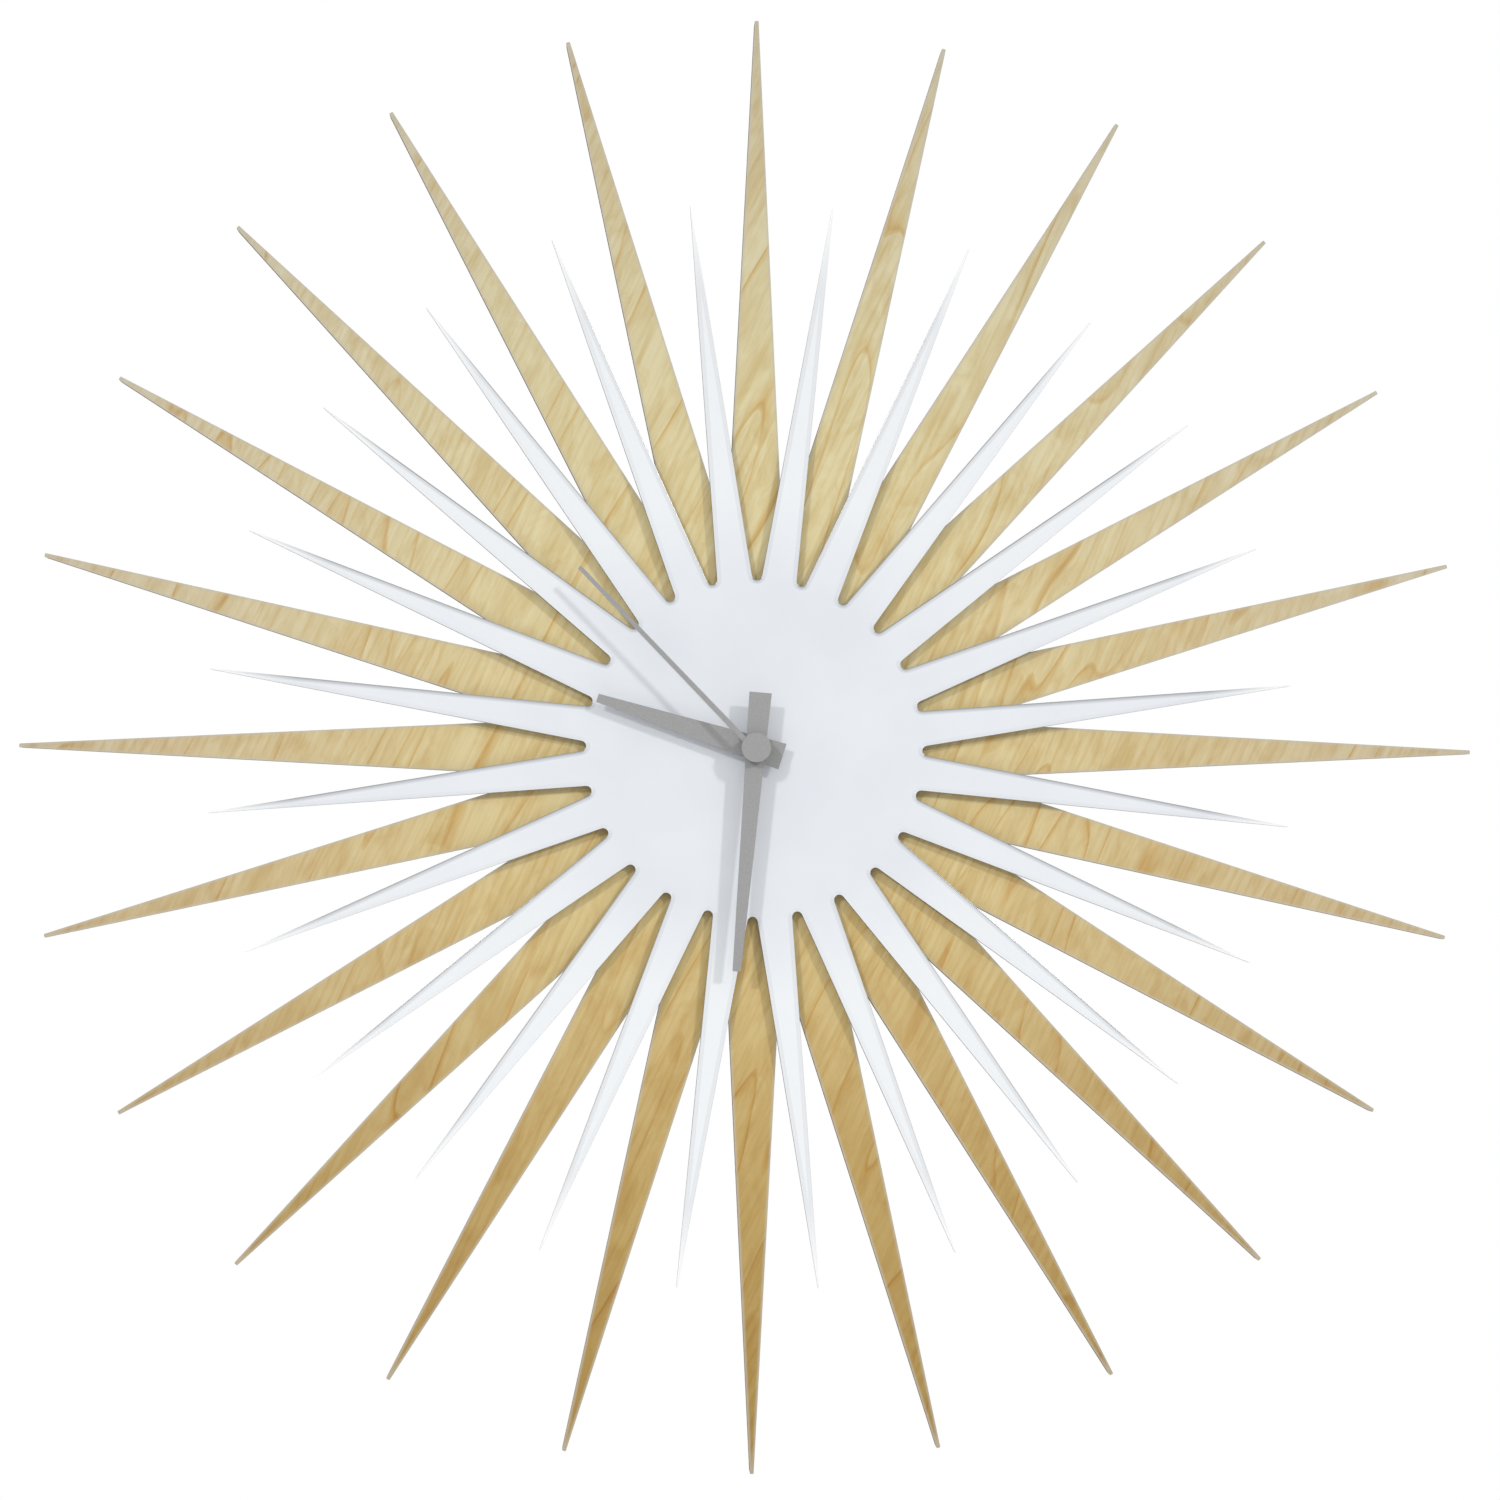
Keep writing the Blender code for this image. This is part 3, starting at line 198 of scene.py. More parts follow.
def mark_edges(piece, outline):
    """Two attributes of a face's corners: nearness to the outline, and how far that edge faces up."""
    rounded = {tuple(round(c / MM, 2) for c in point) for point in outline}
    mesh = piece.data
    near_edge = mesh.attributes.new("near_edge", "FLOAT", "CORNER")
    edge_up = mesh.attributes.new("edge_up", "FLOAT", "CORNER")
    for face in mesh.polygons:
        points = [mesh.vertices[vertex].co for vertex in face.vertices]
        on_edge = [tuple(round(c / MM, 2) for c in point) in rounded for point in points]
        ends = [point for point, on in zip(points, on_edge) if on]
        up = 0.0
        if len(ends) == 2:
            away = (ends[1] - ends[0]).cross(face.normal).normalized()
            up = away.z if away.dot(ends[0] - face.center) > 0 else -away.z
        for corner, on in zip(face.loop_indices, on_edge):
            near_edge.data[corner].value = float(on)
            edge_up.data[corner].value = up


outline = maple_loop(wall_to_front)
maple_star = loft(
    "maple_star",
    [
        outline,
        maple_loop(wall_to_front, GREY_RIM_WIDTH),
        circle_like(outline, POCKET_RADIUS, wall_to_front),
        circle_like(outline, POCKET_RADIUS, wall_to_front - POCKET_DEPTH),
        circle_like(outline, BUSHING_HOLE_RADIUS, wall_to_front - POCKET_DEPTH),
        circle_like(outline, BUSHING_HOLE_RADIUS, wall_to_back),
        maple_loop(wall_to_back),
    ],
    closed=True,
)
mark_edges(maple_star, outline)
bevel(maple_star, EASED_CORNER)
maple_star.modifiers["eased edges"].material = 2

# Maple veneer: pale gold, with painted light that makes it paler up the clock and darker below, thin
# wandering growth lines that lean to the right, faint cross figure, soft blotches, and a greyer rim
# along every edge
maple_veneer, tree, shader = material("lacquered maple veneer", "DCC690", 0.48)
shader.inputs["Specular IOR Level"].default_value = 0.35
GRAIN_LEAN = math.radians(-25)  # turns x to lie across the grain and z along it
place = add(tree, "TexCoord")
at = place.outputs["Object"]
grain = add(tree, "Mapping", None, {"Vector": at, "Rotation": (0, GRAIN_LEAN, 0)})
SWELL_ACROSS, SWELL_ALONG = 62.5 * MM, 385 * MM
BOARD_SCALE = (1 / SWELL_ACROSS, 1 / SWELL_ACROSS, 1 / SWELL_ALONG)
board = add(tree, "Mapping", None, {"Vector": grain.outputs[0], "Scale": BOARD_SCALE})
swell = add(
    tree, "TexNoise", None, {"Vector": board.outputs[0], "Scale": 1, "Detail": 2, "Distortion": 0.4}
)
LINES = 10  # growth lines between the noise's two ends
rise = add(tree, "Math", {"operation": "MULTIPLY"}, {0: swell.outputs["Fac"], 1: LINES})
ring = add(tree, "Math", {"operation": "FRACT"}, {0: rise.outputs[0]})
RING = ((0, "FFFFFF"), (0.84, "FFFFFF"), (0.94, "F8EAD2"), (0.97, "EAD0A8"), (1.0, "F9EDD8"))
ring_tint = add(
    tree,
    "ValToRGB",
    {"stops": [(position, linear(colour)) for position, colour in RING]},
    {"Fac": ring.outputs[0]},
)
PATCH = 50 * MM  # some patches of the sheet show more growth lines, others more cross figure
patches = add(
    tree, "TexNoise", None, {"Vector": grain.outputs[0], "Scale": 1 / PATCH, "Detail": 2}
)
patchy = add(
    tree,
    "MapRange",
    {"interpolation_type": "SMOOTHSTEP"},
    {"Value": patches.outputs["Fac"], "From Min": 0.36, "From Max": 0.62, "To Min": 0.35},
)
fewer = add(
    tree,
    "MapRange",
    {"interpolation_type": "SMOOTHSTEP"},
    {"Value": patches.outputs["Fac"], "From Min": 0.64, "From Max": 0.44, "To Max": 0.38},
)
WAVE_TURN = 2 * math.pi / 20  # a wave texture's scale times the length of one wave
HATCH_SPACING = 3.8 * MM
hatch = add(
    tree,
    "TexWave",
    {"bands_direction": "X"},
    {
        "Vector": grain.outputs[0],
        "Scale": WAVE_TURN / HATCH_SPACING,
        "Distortion": 3,
        "Detail": 2,
        "Detail Scale": 0.6,
    },
)
hatch_tint = add(
    tree,
    "ValToRGB",
    {"stops": [(0.55, linear("FFFFFF")), (1.0, linear("F3E3C8"))]},
    {"Fac": hatch.outputs["Fac"]},
)
PORE_WIDTH, PORE_LENGTH = 1.43 * MM, 38.5 * MM  # drawn wider than they are, or none would show
STREAK_SCALE = (1 / PORE_WIDTH, 1 / PORE_WIDTH, 1 / PORE_LENGTH)
streak_place = add(tree, "Mapping", None, {"Vector": grain.outputs[0], "Scale": STREAK_SCALE})
streaks = add(tree, "TexNoise", None, {"Vector": streak_place.outputs[0], "Scale": 1, "Detail": 3})
streak_tint = add(
    tree,
    "ValToRGB",
    {"stops": [(0.30, linear("F4EEE2")), (0.65, linear("FFFFFF"))]},
    {"Fac": streaks.outputs["Fac"]},
)
BLOTCH_ACROSS, BLOTCH_ALONG = 8.33 * MM, 22.2 * MM
BLOTCH_SCALE = (1 / BLOTCH_ACROSS, 1 / BLOTCH_ACROSS, 1 / BLOTCH_ALONG)
blotches = add(tree, "Mapping", None, {"Vector": grain.outputs[0], "Scale": BLOTCH_SCALE})
mottle = add(
    tree,
    "TexNoise",
    None,
    {"Vector": blotches.outputs[0], "Scale": 1, "Detail": 4, "Roughness": 0.6, "Distortion": 0.8},
)
mottle_tint = add(
    tree,
    "ValToRGB",
    {"stops": [(0.32, linear("E8D6B2")), (0.6, linear("FFFFFF"))]},
    {"Fac": mottle.outputs["Fac"]},
)
reach = add(tree, "VectorMath", {"operation": "LENGTH"}, {0: at})
outward = add(
    tree, "MapRange", None, {"Value": reach.outputs["Value"], "From Min": 0.09, "From Max": 0.30}
)
radial_tint = add(
    tree,
    "ValToRGB",
    {"stops": [(0.0, linear("FFFDEE")), (0.3, linear("F5F3EA")), (1.0, linear("E6E6F0"))]},
    {"Fac": outward.outputs[0]},
)
upright = add(tree, "SeparateXYZ", None, {"Vector": at})
up_the_clock = add(
    tree,
    "MapRange",
    None,
    {"Value": upright.outputs["Z"], "From Min": -0.3, "From Max": 0.3},
)
# Painted light from the lamps above: darker and more saturated at the lowest ray, paler at the top
PAINTED_LIGHT_BY_HEIGHT = (  # from the lowest ray to the top one
    (0.0, "BA9A4E"),
    (0.2, "CBB072"),
    (0.4, "DFCDA0"),
    (0.6, "E5D9B4"),
    (0.8, "E6DEB9"),
    (1.0, "E0D5AB"),
)
sheet = add(
    tree,
    "ValToRGB",
    {"stops": [(position, linear(shade)) for position, shade in PAINTED_LIGHT_BY_HEIGHT]},
    {"Fac": up_the_clock.outputs[0]},
)
colour = sheet.outputs[0]
tints = (
    (radial_tint, 1.0),
    (ring_tint, patchy.outputs[0]),
    (hatch_tint, fewer.outputs[0]),
    (streak_tint, 0.7),
    (mottle_tint, 0.6),
)
for tint, strength in tints:
    layer = add(
        tree,
        "Mix",
        {"data_type": "RGBA", "blend_type": "MULTIPLY"},
        {0: strength, 6: colour, 7: tint.outputs[0]},
    )
    colour = layer.outputs[2]
near = add(tree, "Attribute", {"attribute_name": "near_edge"})
# A greyer rim along every edge of the face
grey_rim_mask = add(tree, "MapRange", None, {"Value": near.outputs["Fac"], "From Max": 0.7, "To Max": 0.55})
rim = add(tree, "Mix", {"data_type": "RGBA"}, {0: grey_rim_mask.outputs[0], 6: colour, 7: linear("BFBCB0")})
tree.links.new(rim.outputs[2], shader.inputs["Base Color"])
pores = add(
    tree, "Bump", None, {"Strength": 0.25, "Distance": 0.05 * MM, "Height": streaks.outputs["Fac"]}
)
tree.links.new(pores.outputs[0], shader.inputs["Normal"])

# Laser-cut plywood edge: five plies, scorched brown
PLY = 1.2 * MM
scorched_ply, tree, shader = material("scorched plywood edge", "8A714E", 0.75)
place = add(tree, "TexCoord")
plies = add(
    tree,
    "TexWave",
    {"bands_direction": "Y"},
    {"Vector": place.outputs["Object"], "Scale": WAVE_TURN / (2 * PLY), "Distortion": 0.4},
)
ply_tint = add(
    tree,
    "ValToRGB",
    {"stops": [(0.3, linear("7C6546")), (0.7, linear("9C8460"))]},
    {"Fac": plies.outputs["Fac"]},
)
SOOT = 2.38 * MM
soot = add(
    tree, "TexNoise", None, {"Vector": place.outputs["Object"], "Scale": 1 / SOOT, "Detail": 3}
)
soot_tint = add(
    tree,
    "ValToRGB",
    {"stops": [(0.3, linear("B8A890")), (0.7, linear("FFFFFF"))]},
    {"Fac": soot.outputs["Fac"]},
)
burnt = add(
    tree,
    "Mix",
    {"data_type": "RGBA", "blend_type": "MULTIPLY"},
    {0: 1.0, 6: ply_tint.outputs[0], 7: soot_tint.outputs[0]},
)
tree.links.new(burnt.outputs[2], shader.inputs["Base Color"])

# The eased corner: lacquer over bare wood, greyer than the face
eased_edge, tree, shader = material("eased maple corner", "B9B4A4", 0.5)
place = add(tree, "TexCoord")
NICK = 3.33 * MM
nicks = add(
    tree, "TexNoise", None, {"Vector": place.outputs["Object"], "Scale": 1 / NICK, "Detail": 3}
)
nick_tint = add(
    tree,
    "ValToRGB",
    {"stops": [(0.35, linear("A8A290")), (0.65, linear("C2BEB0"))]},
    {"Fac": nicks.outputs["Fac"]},
)
tree.links.new(nick_tint.outputs[0], shader.inputs["Base Color"])

for finish in (maple_veneer, scorched_ply, eased_edge):
    maple_star.data.materials.append(finish)
for face in maple_star.data.polygons:
    face.material_index = 0 if abs(face.normal.y) > 0.5 else 1
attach(maple_star, "clock_body")
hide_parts("maple_sunburst")

# --- White star -----------------------------------------------------------------------------------
# The front layer: 3 mm white acrylic with flame-polished edges, laid over the maple star with its
# rays in the gaps. A soft band of painted shade and light, 1.9 mm wide, runs along every edge of its
# top.

low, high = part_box("white_sunburst")
WHITE_TIP_RADIUS = 228.0 * MM
WHITE_TIP_HALF_WIDTH = 0.2 * MM
WHITE_TAPER = 0.0458
WHITE_TURN = math.radians(-0.55)
NOTCH_BOTTOM = 70.4 * MM
WHITE_HOLE_RADIUS = 5.0 * MM
BAND = 1.9 * MM
ARC_STEPS = 6
# Painted shade and light on the cut edge, from the notches out to the tips
EDGE_SHADE_TO_TIP = ((0.0, "606260"), (0.3, "707270"), (0.55, "9A9C9B"), (0.8, "D0D3D4"), (1.0, "FAFBFC"))


def white_loop(height, inset=0.0):
    """The star's outline at one height, drawn in by a distance: a tip, then a notch's round end."""
    root_half_width = WHITE_TIP_HALF_WIDTH + WHITE_TAPER * WHITE_TIP_RADIUS
    spread = math.sin(PITCH / 2) + WHITE_TAPER * math.cos(PITCH / 2)
    end_radius = (NOTCH_BOTTOM * spread - root_half_width) / (math.hypot(1, WHITE_TAPER) - spread)
    slope = math.atan(WHITE_TAPER)
    quarter = math.pi / 2 - PITCH / 2 - slope
    drawn_in = WHITE_TIP_RADIUS + WHITE_TIP_HALF_WIDTH / WHITE_TAPER - inset / math.sin(slope)
    loop = []
    for ray in range(RAYS):
        notch = math.pi / 2 + WHITE_TURN + ray * PITCH
        if inset:
            loop += [on_dial(drawn_in, notch - PITCH / 2, height)] * 2
        else:
            loop += ray_end(WHITE_TIP_RADIUS, WHITE_TIP_HALF_WIDTH, notch - PITCH / 2, height)
        end = on_dial(NOTCH_BOTTOM + end_radius, notch, height)
        for step in range(ARC_STEPS + 1):
            swing = notch + math.pi + quarter * (1 - 2 * step / ARC_STEPS)
            loop.append(end + on_dial(end_radius + inset, swing, 0))
    return loop


wall_to_front, wall_to_back = -low.y, -high.y
outline = white_loop(wall_to_front)
inner_line = white_loop(wall_to_front, BAND)
white_star = loft(
    "white_star",
    [
        outline,
        inner_line,
        circle_like(inner_line, WHITE_HOLE_RADIUS, wall_to_front),
        circle_like(inner_line, WHITE_HOLE_RADIUS, wall_to_back),
        white_loop(wall_to_back),
    ],
    closed=True,
)
mark_edges(white_star, outline)
bevel(white_star, 0.2 * MM)

# White acrylic: cool white, glossy. Along each edge runs a band of painted shade and light: a soft dark
# one where the edge faces up, an even grey one where it faces sideways, and a pale one where it faces
# down
white_acrylic, tree, shader = material("white acrylic sheet", "E8ECF3", 0.22)
near = add(tree, "Attribute", {"attribute_name": "near_edge"})
faces_up = add(tree, "Attribute", {"attribute_name": "edge_up"})
direction = add(tree, "MapRange", None, {"Value": faces_up.outputs["Fac"], "From Min": -1})
# How far the edge faces up, from 0 to 1; then its painted soft shade, even shade, lift and thin dark
# line
PAINTED_EDGE_SHADES = (
    (0.0, (0.06, 0.02, 0, 0)),
    (0.15, (0, 0.01, 0.03, 0)),
    (0.25, (0, 0.03, 0, 0)),
    (0.4, (0, 0.085, 0, 0)),
    (0.6, (0, 0.09, 0, 0.05)),
    (0.8, (0.12, 0.075, 0, 0.3)),
    (0.88, (0.26, 0.05, 0, 0.45)),
    (0.95, (0.38, 0.04, 0, 0.2)),
    (1.0, (0.50, 0.02, 0, 0.1)),
)
painted_edge_bands = add(
    tree,
    "ValToRGB",
    {"stops": PAINTED_EDGE_SHADES},
    {"Fac": direction.outputs[0]},
)
parts = add(tree, "SeparateColor", None, {0: painted_edge_bands.outputs[0]})
soft = add(tree, "Math", {"operation": "SUBTRACT"}, {0: parts.outputs[0], 1: parts.outputs[2]})
soft_shade = add(tree, "Math", {"operation": "MULTIPLY"}, {0: soft.outputs[0], 1: near.outputs["Fac"]})
inside = add(tree, "Math", {"operation": "GREATER_THAN"}, {0: near.outputs["Fac"], 1: 0.03})
shade = add(
    tree,
    "Math",
    {"operation": "MULTIPLY_ADD"},
    {0: parts.outputs[1], 1: inside.outputs[0], 2: soft_shade.outputs[0]},
)
on_line = add(
    tree, "MapRange", None, {"Value": near.outputs["Fac"], "From Min": 0.70, "From Max": 0.86}
)
lined = add(
    tree,
    "Math",
    {"operation": "MULTIPLY_ADD", "use_clamp": True},
    {0: painted_edge_bands.outputs["Alpha"], 1: on_line.outputs[0], 2: shade.outputs[0]},
)
place = add(tree, "TexCoord")
CLOUD = 33.3 * MM
cloud = add(
    tree, "TexNoise", None, {"Vector": place.outputs["Object"], "Scale": 1 / CLOUD, "Detail": 2}
)
cloud_tint = add(
    tree,
    "ValToRGB",
    {"stops": [(0.3, linear("E3E7ED")), (0.7, linear("E8ECF1"))]},
    {"Fac": cloud.outputs["Fac"]},
)
reach = add(tree, "VectorMath", {"operation": "LENGTH"}, {0: place.outputs["Object"]})
on_ray = add(
    tree, "MapRange", None, {"Value": reach.outputs["Value"], "From Min": 0.075, "From Max": 0.11}
)
parts_of_place = add(tree, "SeparateXYZ", None, {"Vector": place.outputs["Object"]})
above = add(tree, "Math", {"operation": "ABSOLUTE"}, {0: parts_of_place.outputs["Z"]})
upright = add(
    tree,
    "MapRange",
    None,
    {"Value": above.outputs[0], "From Min": 0.02, "From Max": 0.10, "To Min": 0.25},
)
pale = add(tree, "Math", {"operation": "MULTIPLY"}, {0: on_ray.outputs[0], 1: upright.outputs[0]})
paler = add(
    tree,
    "Mix",
    {"data_type": "RGBA"},
    {0: pale.outputs[0], 6: cloud_tint.outputs[0], 7: linear("EFF2F5")},
)
left = add(tree, "Math", {"operation": "SUBTRACT"}, {0: 1.0, 1: lined.outputs[0]})
banded = add(
    tree, "VectorMath", {"operation": "SCALE"}, {0: paler.outputs[2], "Scale": left.outputs[0]}
)
# Painted light: each ray pales to near white towards its tip
at_tip = add(
    tree,
    "MapRange",
    None,
    {"Value": reach.outputs["Value"], "From Min": 0.195, "From Max": 0.224, "To Max": 0.9},
)
tips_painted_pale = add(
    tree,
    "Mix",
    {"data_type": "RGBA"},
    {0: at_tip.outputs[0], 6: banded.outputs[0], 7: linear("FAFBFC")},
)
tree.links.new(tips_painted_pale.outputs[2], shader.inputs["Base Color"])

# The cut edge, with fine upright polish marks. Its grey is painted shade, darkest by the notches, where
# shadow gathers, and it pales to a painted near white towards the tips, where the narrow ray lets light
# through
acrylic_edge, tree, shader = material("polished acrylic edge", "8E908F", 0.3)
place = add(tree, "TexCoord")
reach = add(tree, "VectorMath", {"operation": "LENGTH"}, {0: place.outputs["Object"]})
towards_tip = add(
    tree,
    "MapRange",
    None,
    {"Value": reach.outputs["Value"], "From Min": NOTCH_BOTTOM, "From Max": WHITE_TIP_RADIUS},
)
painted_edge_shade = add(
    tree,
    "ValToRGB",
    {"stops": [(position, linear(colour)) for position, colour in EDGE_SHADE_TO_TIP]},
    {"Fac": towards_tip.outputs[0]},
)
MARK_WIDTH, MARK_LENGTH = 0.741 * MM, 6.67 * MM
MARK_SCALE = (1 / MARK_WIDTH, 1 / MARK_LENGTH, 1 / MARK_WIDTH)
marks_place = add(
    tree, "Mapping", None, {"Vector": place.outputs["Object"], "Scale": MARK_SCALE}
)
marks = add(tree, "TexNoise", None, {"Vector": marks_place.outputs[0], "Scale": 1, "Detail": 2})
mark_tint = add(
    tree,
    "ValToRGB",
    {"stops": [(0.35, linear("E8E8E8")), (0.65, linear("FFFFFF"))]},
    {"Fac": marks.outputs["Fac"]},
)
edge_colour = add(
    tree,
    "Mix",
    {"data_type": "RGBA", "blend_type": "MULTIPLY"},
    {0: 1.0, 6: painted_edge_shade.outputs[0], 7: mark_tint.outputs[0]},
)
tree.links.new(edge_colour.outputs[2], shader.inputs["Base Color"])

white_star.data.materials.append(white_acrylic)
white_star.data.materials.append(acrylic_edge)
for face in white_star.data.polygons:
    face.material_index = 0 if abs(face.normal.y) > 0.5 else 1
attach(white_star, "clock_body")
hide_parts("white_sunburst")

# --- Adhesive film --------------------------------------------------------------------------------
# A ring of clear double-sided film, 0.2 mm thick and die-cut, that holds the white star to the maple
# one. It stays well inside the notches, so none of it shows from the front.


def dress(node, finish):
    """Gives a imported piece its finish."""
    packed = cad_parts[node]
    packed.data.materials.clear()
    packed.data.materials.append(finish)


def worked(name, dark, light, roughness, metallic=0.0, grain=1.11, stretch=(1, 1, 1), relief=0.02):
    """A finish whose noise varies colour, gloss and relief. Its grain and relief are in mm, and the
    stretch makes the grain finer along an axis, so that it lies the way the piece was worked."""
    made, tree, shader = material(name, light, roughness, metallic)
    place = add(tree, "TexCoord")
    way = add(tree, "Mapping", None, {"Vector": place.outputs["Object"], "Scale": stretch})
    noise = add(
        tree, "TexNoise", None, {"Vector": way.outputs[0], "Scale": 1 / (grain * MM), "Detail": 3}
    )
    tint = add(
        tree,
        "ValToRGB",
        {"stops": [(0.35, linear(dark)), (0.65, linear(light))]},
        {"Fac": noise.outputs["Fac"]},
    )
    gloss = add(
        tree,
        "MapRange",
        None,
        {"Value": noise.outputs["Fac"], "To Min": roughness * 0.8, "To Max": roughness * 1.2},
    )
    bump = add(
        tree,
        "Bump",
        None,
        {"Strength": 0.3, "Distance": relief * MM, "Height": noise.outputs["Fac"]},
    )
    tree.links.new(tint.outputs[0], shader.inputs["Base Color"])
    tree.links.new(gloss.outputs[0], shader.inputs["Roughness"])
    tree.links.new(bump.outputs[0], shader.inputs["Normal"])
    return made, tree, shader


# Clear film with a faint yellow cast and small trapped bubbles
film, tree, shader = worked("clear adhesive film", "CFCDBE", "DEDDD2", 0.35, grain=3.85)
dress("adhesive_film", film)

# --- Bushing, washers, nut and hanger -------------------------------------------------------------
# The movement's threaded brass bushing passes the steel hanger, a rubber washer and the maple star; a
# brass washer and a hex nut in the star's pocket clamp them together.

# Turned brass: fine tool rings around the axis, and a thread on the bushing's outside
brass, tree, shader = worked("turned brass", "B08A44", "C9A45C", 0.28, 1.0, stretch=(1, 6, 1))
place = add(tree, "TexCoord")
THREAD_PITCH = 0.75 * MM
thread = add(
    tree,
    "TexWave",
    {"bands_direction": "Y"},
    {"Vector": place.outputs["Object"], "Scale": WAVE_TURN / THREAD_PITCH, "Distortion": 0.0},
)
rings = shader.inputs["Normal"].links[0].from_socket
grooves = add(
    tree,
    "Bump",
    None,
    {"Strength": 0.5, "Distance": 0.15 * MM, "Height": thread.outputs["Fac"], "Normal": rings},
)
tree.links.new(grooves.outputs[0], shader.inputs["Normal"])
dress("threaded_bushing", brass)

# Sheet brass, as the washer, nut and minute wheel: brushed, without the thread
sheet_brass, tree, shader = worked(
    "brushed sheet brass", "B48F4A", "CDA962", 0.3, 1.0, grain=2.0, stretch=(1, 1, 9)
)
for node in ("brass_washer", "hex_nut", "minute_wheel"):
    dress(node, sheet_brass)

# Moulded rubber: matt black with a dusting of pale bloom
rubber, tree, shader = worked("moulded rubber", "181818", "2B2B2A", 0.8, grain=1.43, relief=0.05)
dress("rubber_washer", rubber)

# Zinc-plated steel strip, rolled lengthwise, and the stampings of the step motor
zinc, tree, shader = worked(
    "zinc-plated steel", "9A9DA3", "C3C6CA", 0.33, 1.0, grain=2.38, stretch=(6, 6, 1)
)
for node in ("stator", "coil_core"):
    dress(node, zinc)


FLAT = math.radians(1)  # faces that meet at less than this are one face
CREASE = math.radians(35)  # a smooth surface breaks at sharper edges than this


def eased_copy(node, body, width, finish):
    """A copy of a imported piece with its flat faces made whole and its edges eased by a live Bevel."""
    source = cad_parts[node]
    bm = bmesh.new()
    bm.from_mesh(source.data)
    bm.transform(source.matrix_world)
    bmesh.ops.remove_doubles(bm, verts=bm.verts, dist=WELD)
    bmesh.ops.dissolve_limit(bm, angle_limit=FLAT, verts=bm.verts, edges=bm.edges)
    bmesh.ops.recalc_face_normals(bm, faces=bm.faces)
    mesh = bpy.data.meshes.new(node + "_finished")
    bm.to_mesh(mesh)
    bm.free()
    piece = bpy.data.objects.new(node + "_finished", mesh)
    bpy.context.scene.collection.objects.link(piece)
    mesh.materials.append(finish)
    mesh.shade_smooth()
    mesh.set_sharp_from_angle(angle=CREASE)
    bevel(piece, width).modifiers["eased edges"].harden_normals = True
    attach(piece, body)
    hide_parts(node)
    return piece


eased_copy("hanger_bracket", "clock_body", 0.2 * MM, zinc)

# --- Movement case and rear cover -----------------------------------------------------------------
# Two black ABS mouldings: a box 56 mm square, open at the back, with a bay for the battery below and
# room for the wheels above, and a cover that is pressed on over the wheels.

# Black ABS with a slight sheen and a fine spark-eroded texture, drawn coarser than it is so that it
# shows
abs_black, tree, shader = worked(
    "spark-eroded black ABS", "101011", "1D1D1F", 0.5, grain=0.385, relief=0.04
)
eased_copy("movement_case", "clock_body", 0.25 * MM, abs_black)
eased_copy("rear_cover", "clock_body", 0.15 * MM, abs_black)

# --- Wheel train and setting knob -----------------------------------------------------------------
# Moulded acetal wheels, each with its arbor, carry the rotor's steps up to the second hand and down to
# the minute and hour hands. A grey ribbed knob at the back turns the hands by hand.

# Natural acetal: milky, slightly translucent, with faint flow marks
acetal, tree, shader = worked(
    "natural acetal", "D9D5C8", "ECE9DF", 0.38, grain=2.63, stretch=(1, 3, 1), relief=0.01
)
shader.inputs["Subsurface Weight"].default_value = 0.15
shader.inputs["Subsurface Radius"].default_value = (0.001, 0.001, 0.0008)
for node in (
    "hour_wheel",
    "seconds_wheel",
    "motion_wheel",
    "third_wheel",
    "intermediate_wheel",
    "rotor",
    "coil_bobbin",
):
    dress(node, acetal)

# Grey ABS knob, finely textured, with the texture drawn coarser than it is so that it shows
knob_grey, tree, shader = worked(
    "textured grey ABS", "77797B", "86888A", 0.55, grain=0.417, relief=0.04
)
eased_copy("setting_wheel", "setting", 0.1 * MM, knob_grey)

# --- Step motor -----------------------------------------------------------------------------------
# A ring magnet on the rotor stands in the gap of a steel stator. The coil that drives it is wound on a
# bobbin, and the bobbin sits on a core that closes the magnetic circuit.

# Sintered ferrite: dark grey with crystalline specks
ferrite, tree, shader = worked("sintered ferrite", "1F1F21", "3A3A3D", 0.45, 0.3, grain=0.556)
dress("rotor_magnet", ferrite)

# Enamelled copper wire, wound across the bobbin's length in close turns
copper, tree, shader = worked("enamelled copper wire", "9A4A22", "C06A35", 0.3, 0.9, grain=2.0)
place = add(tree, "TexCoord")
WIRE_PITCH = 0.12 * MM
turns = add(
    tree,
    "TexWave",
    {"bands_direction": "X"},
    {"Vector": place.outputs["Object"], "Scale": WAVE_TURN / WIRE_PITCH, "Distortion": 0.6},
)
enamel = shader.inputs["Normal"].links[0].from_socket
wound = add(
    tree,
    "Bump",
    None,
    {"Strength": 0.6, "Distance": 0.05 * MM, "Height": turns.outputs["Fac"], "Normal": enamel},
)
tree.links.new(wound.outputs[0], shader.inputs["Normal"])
dress("coil_winding", copper)

# --- Electronics ----------------------------------------------------------------------------------
# A small board carries the chip under a blob of epoxy and the quartz crystal in its can. Two bent strip
# contacts reach from the board into the battery bay.

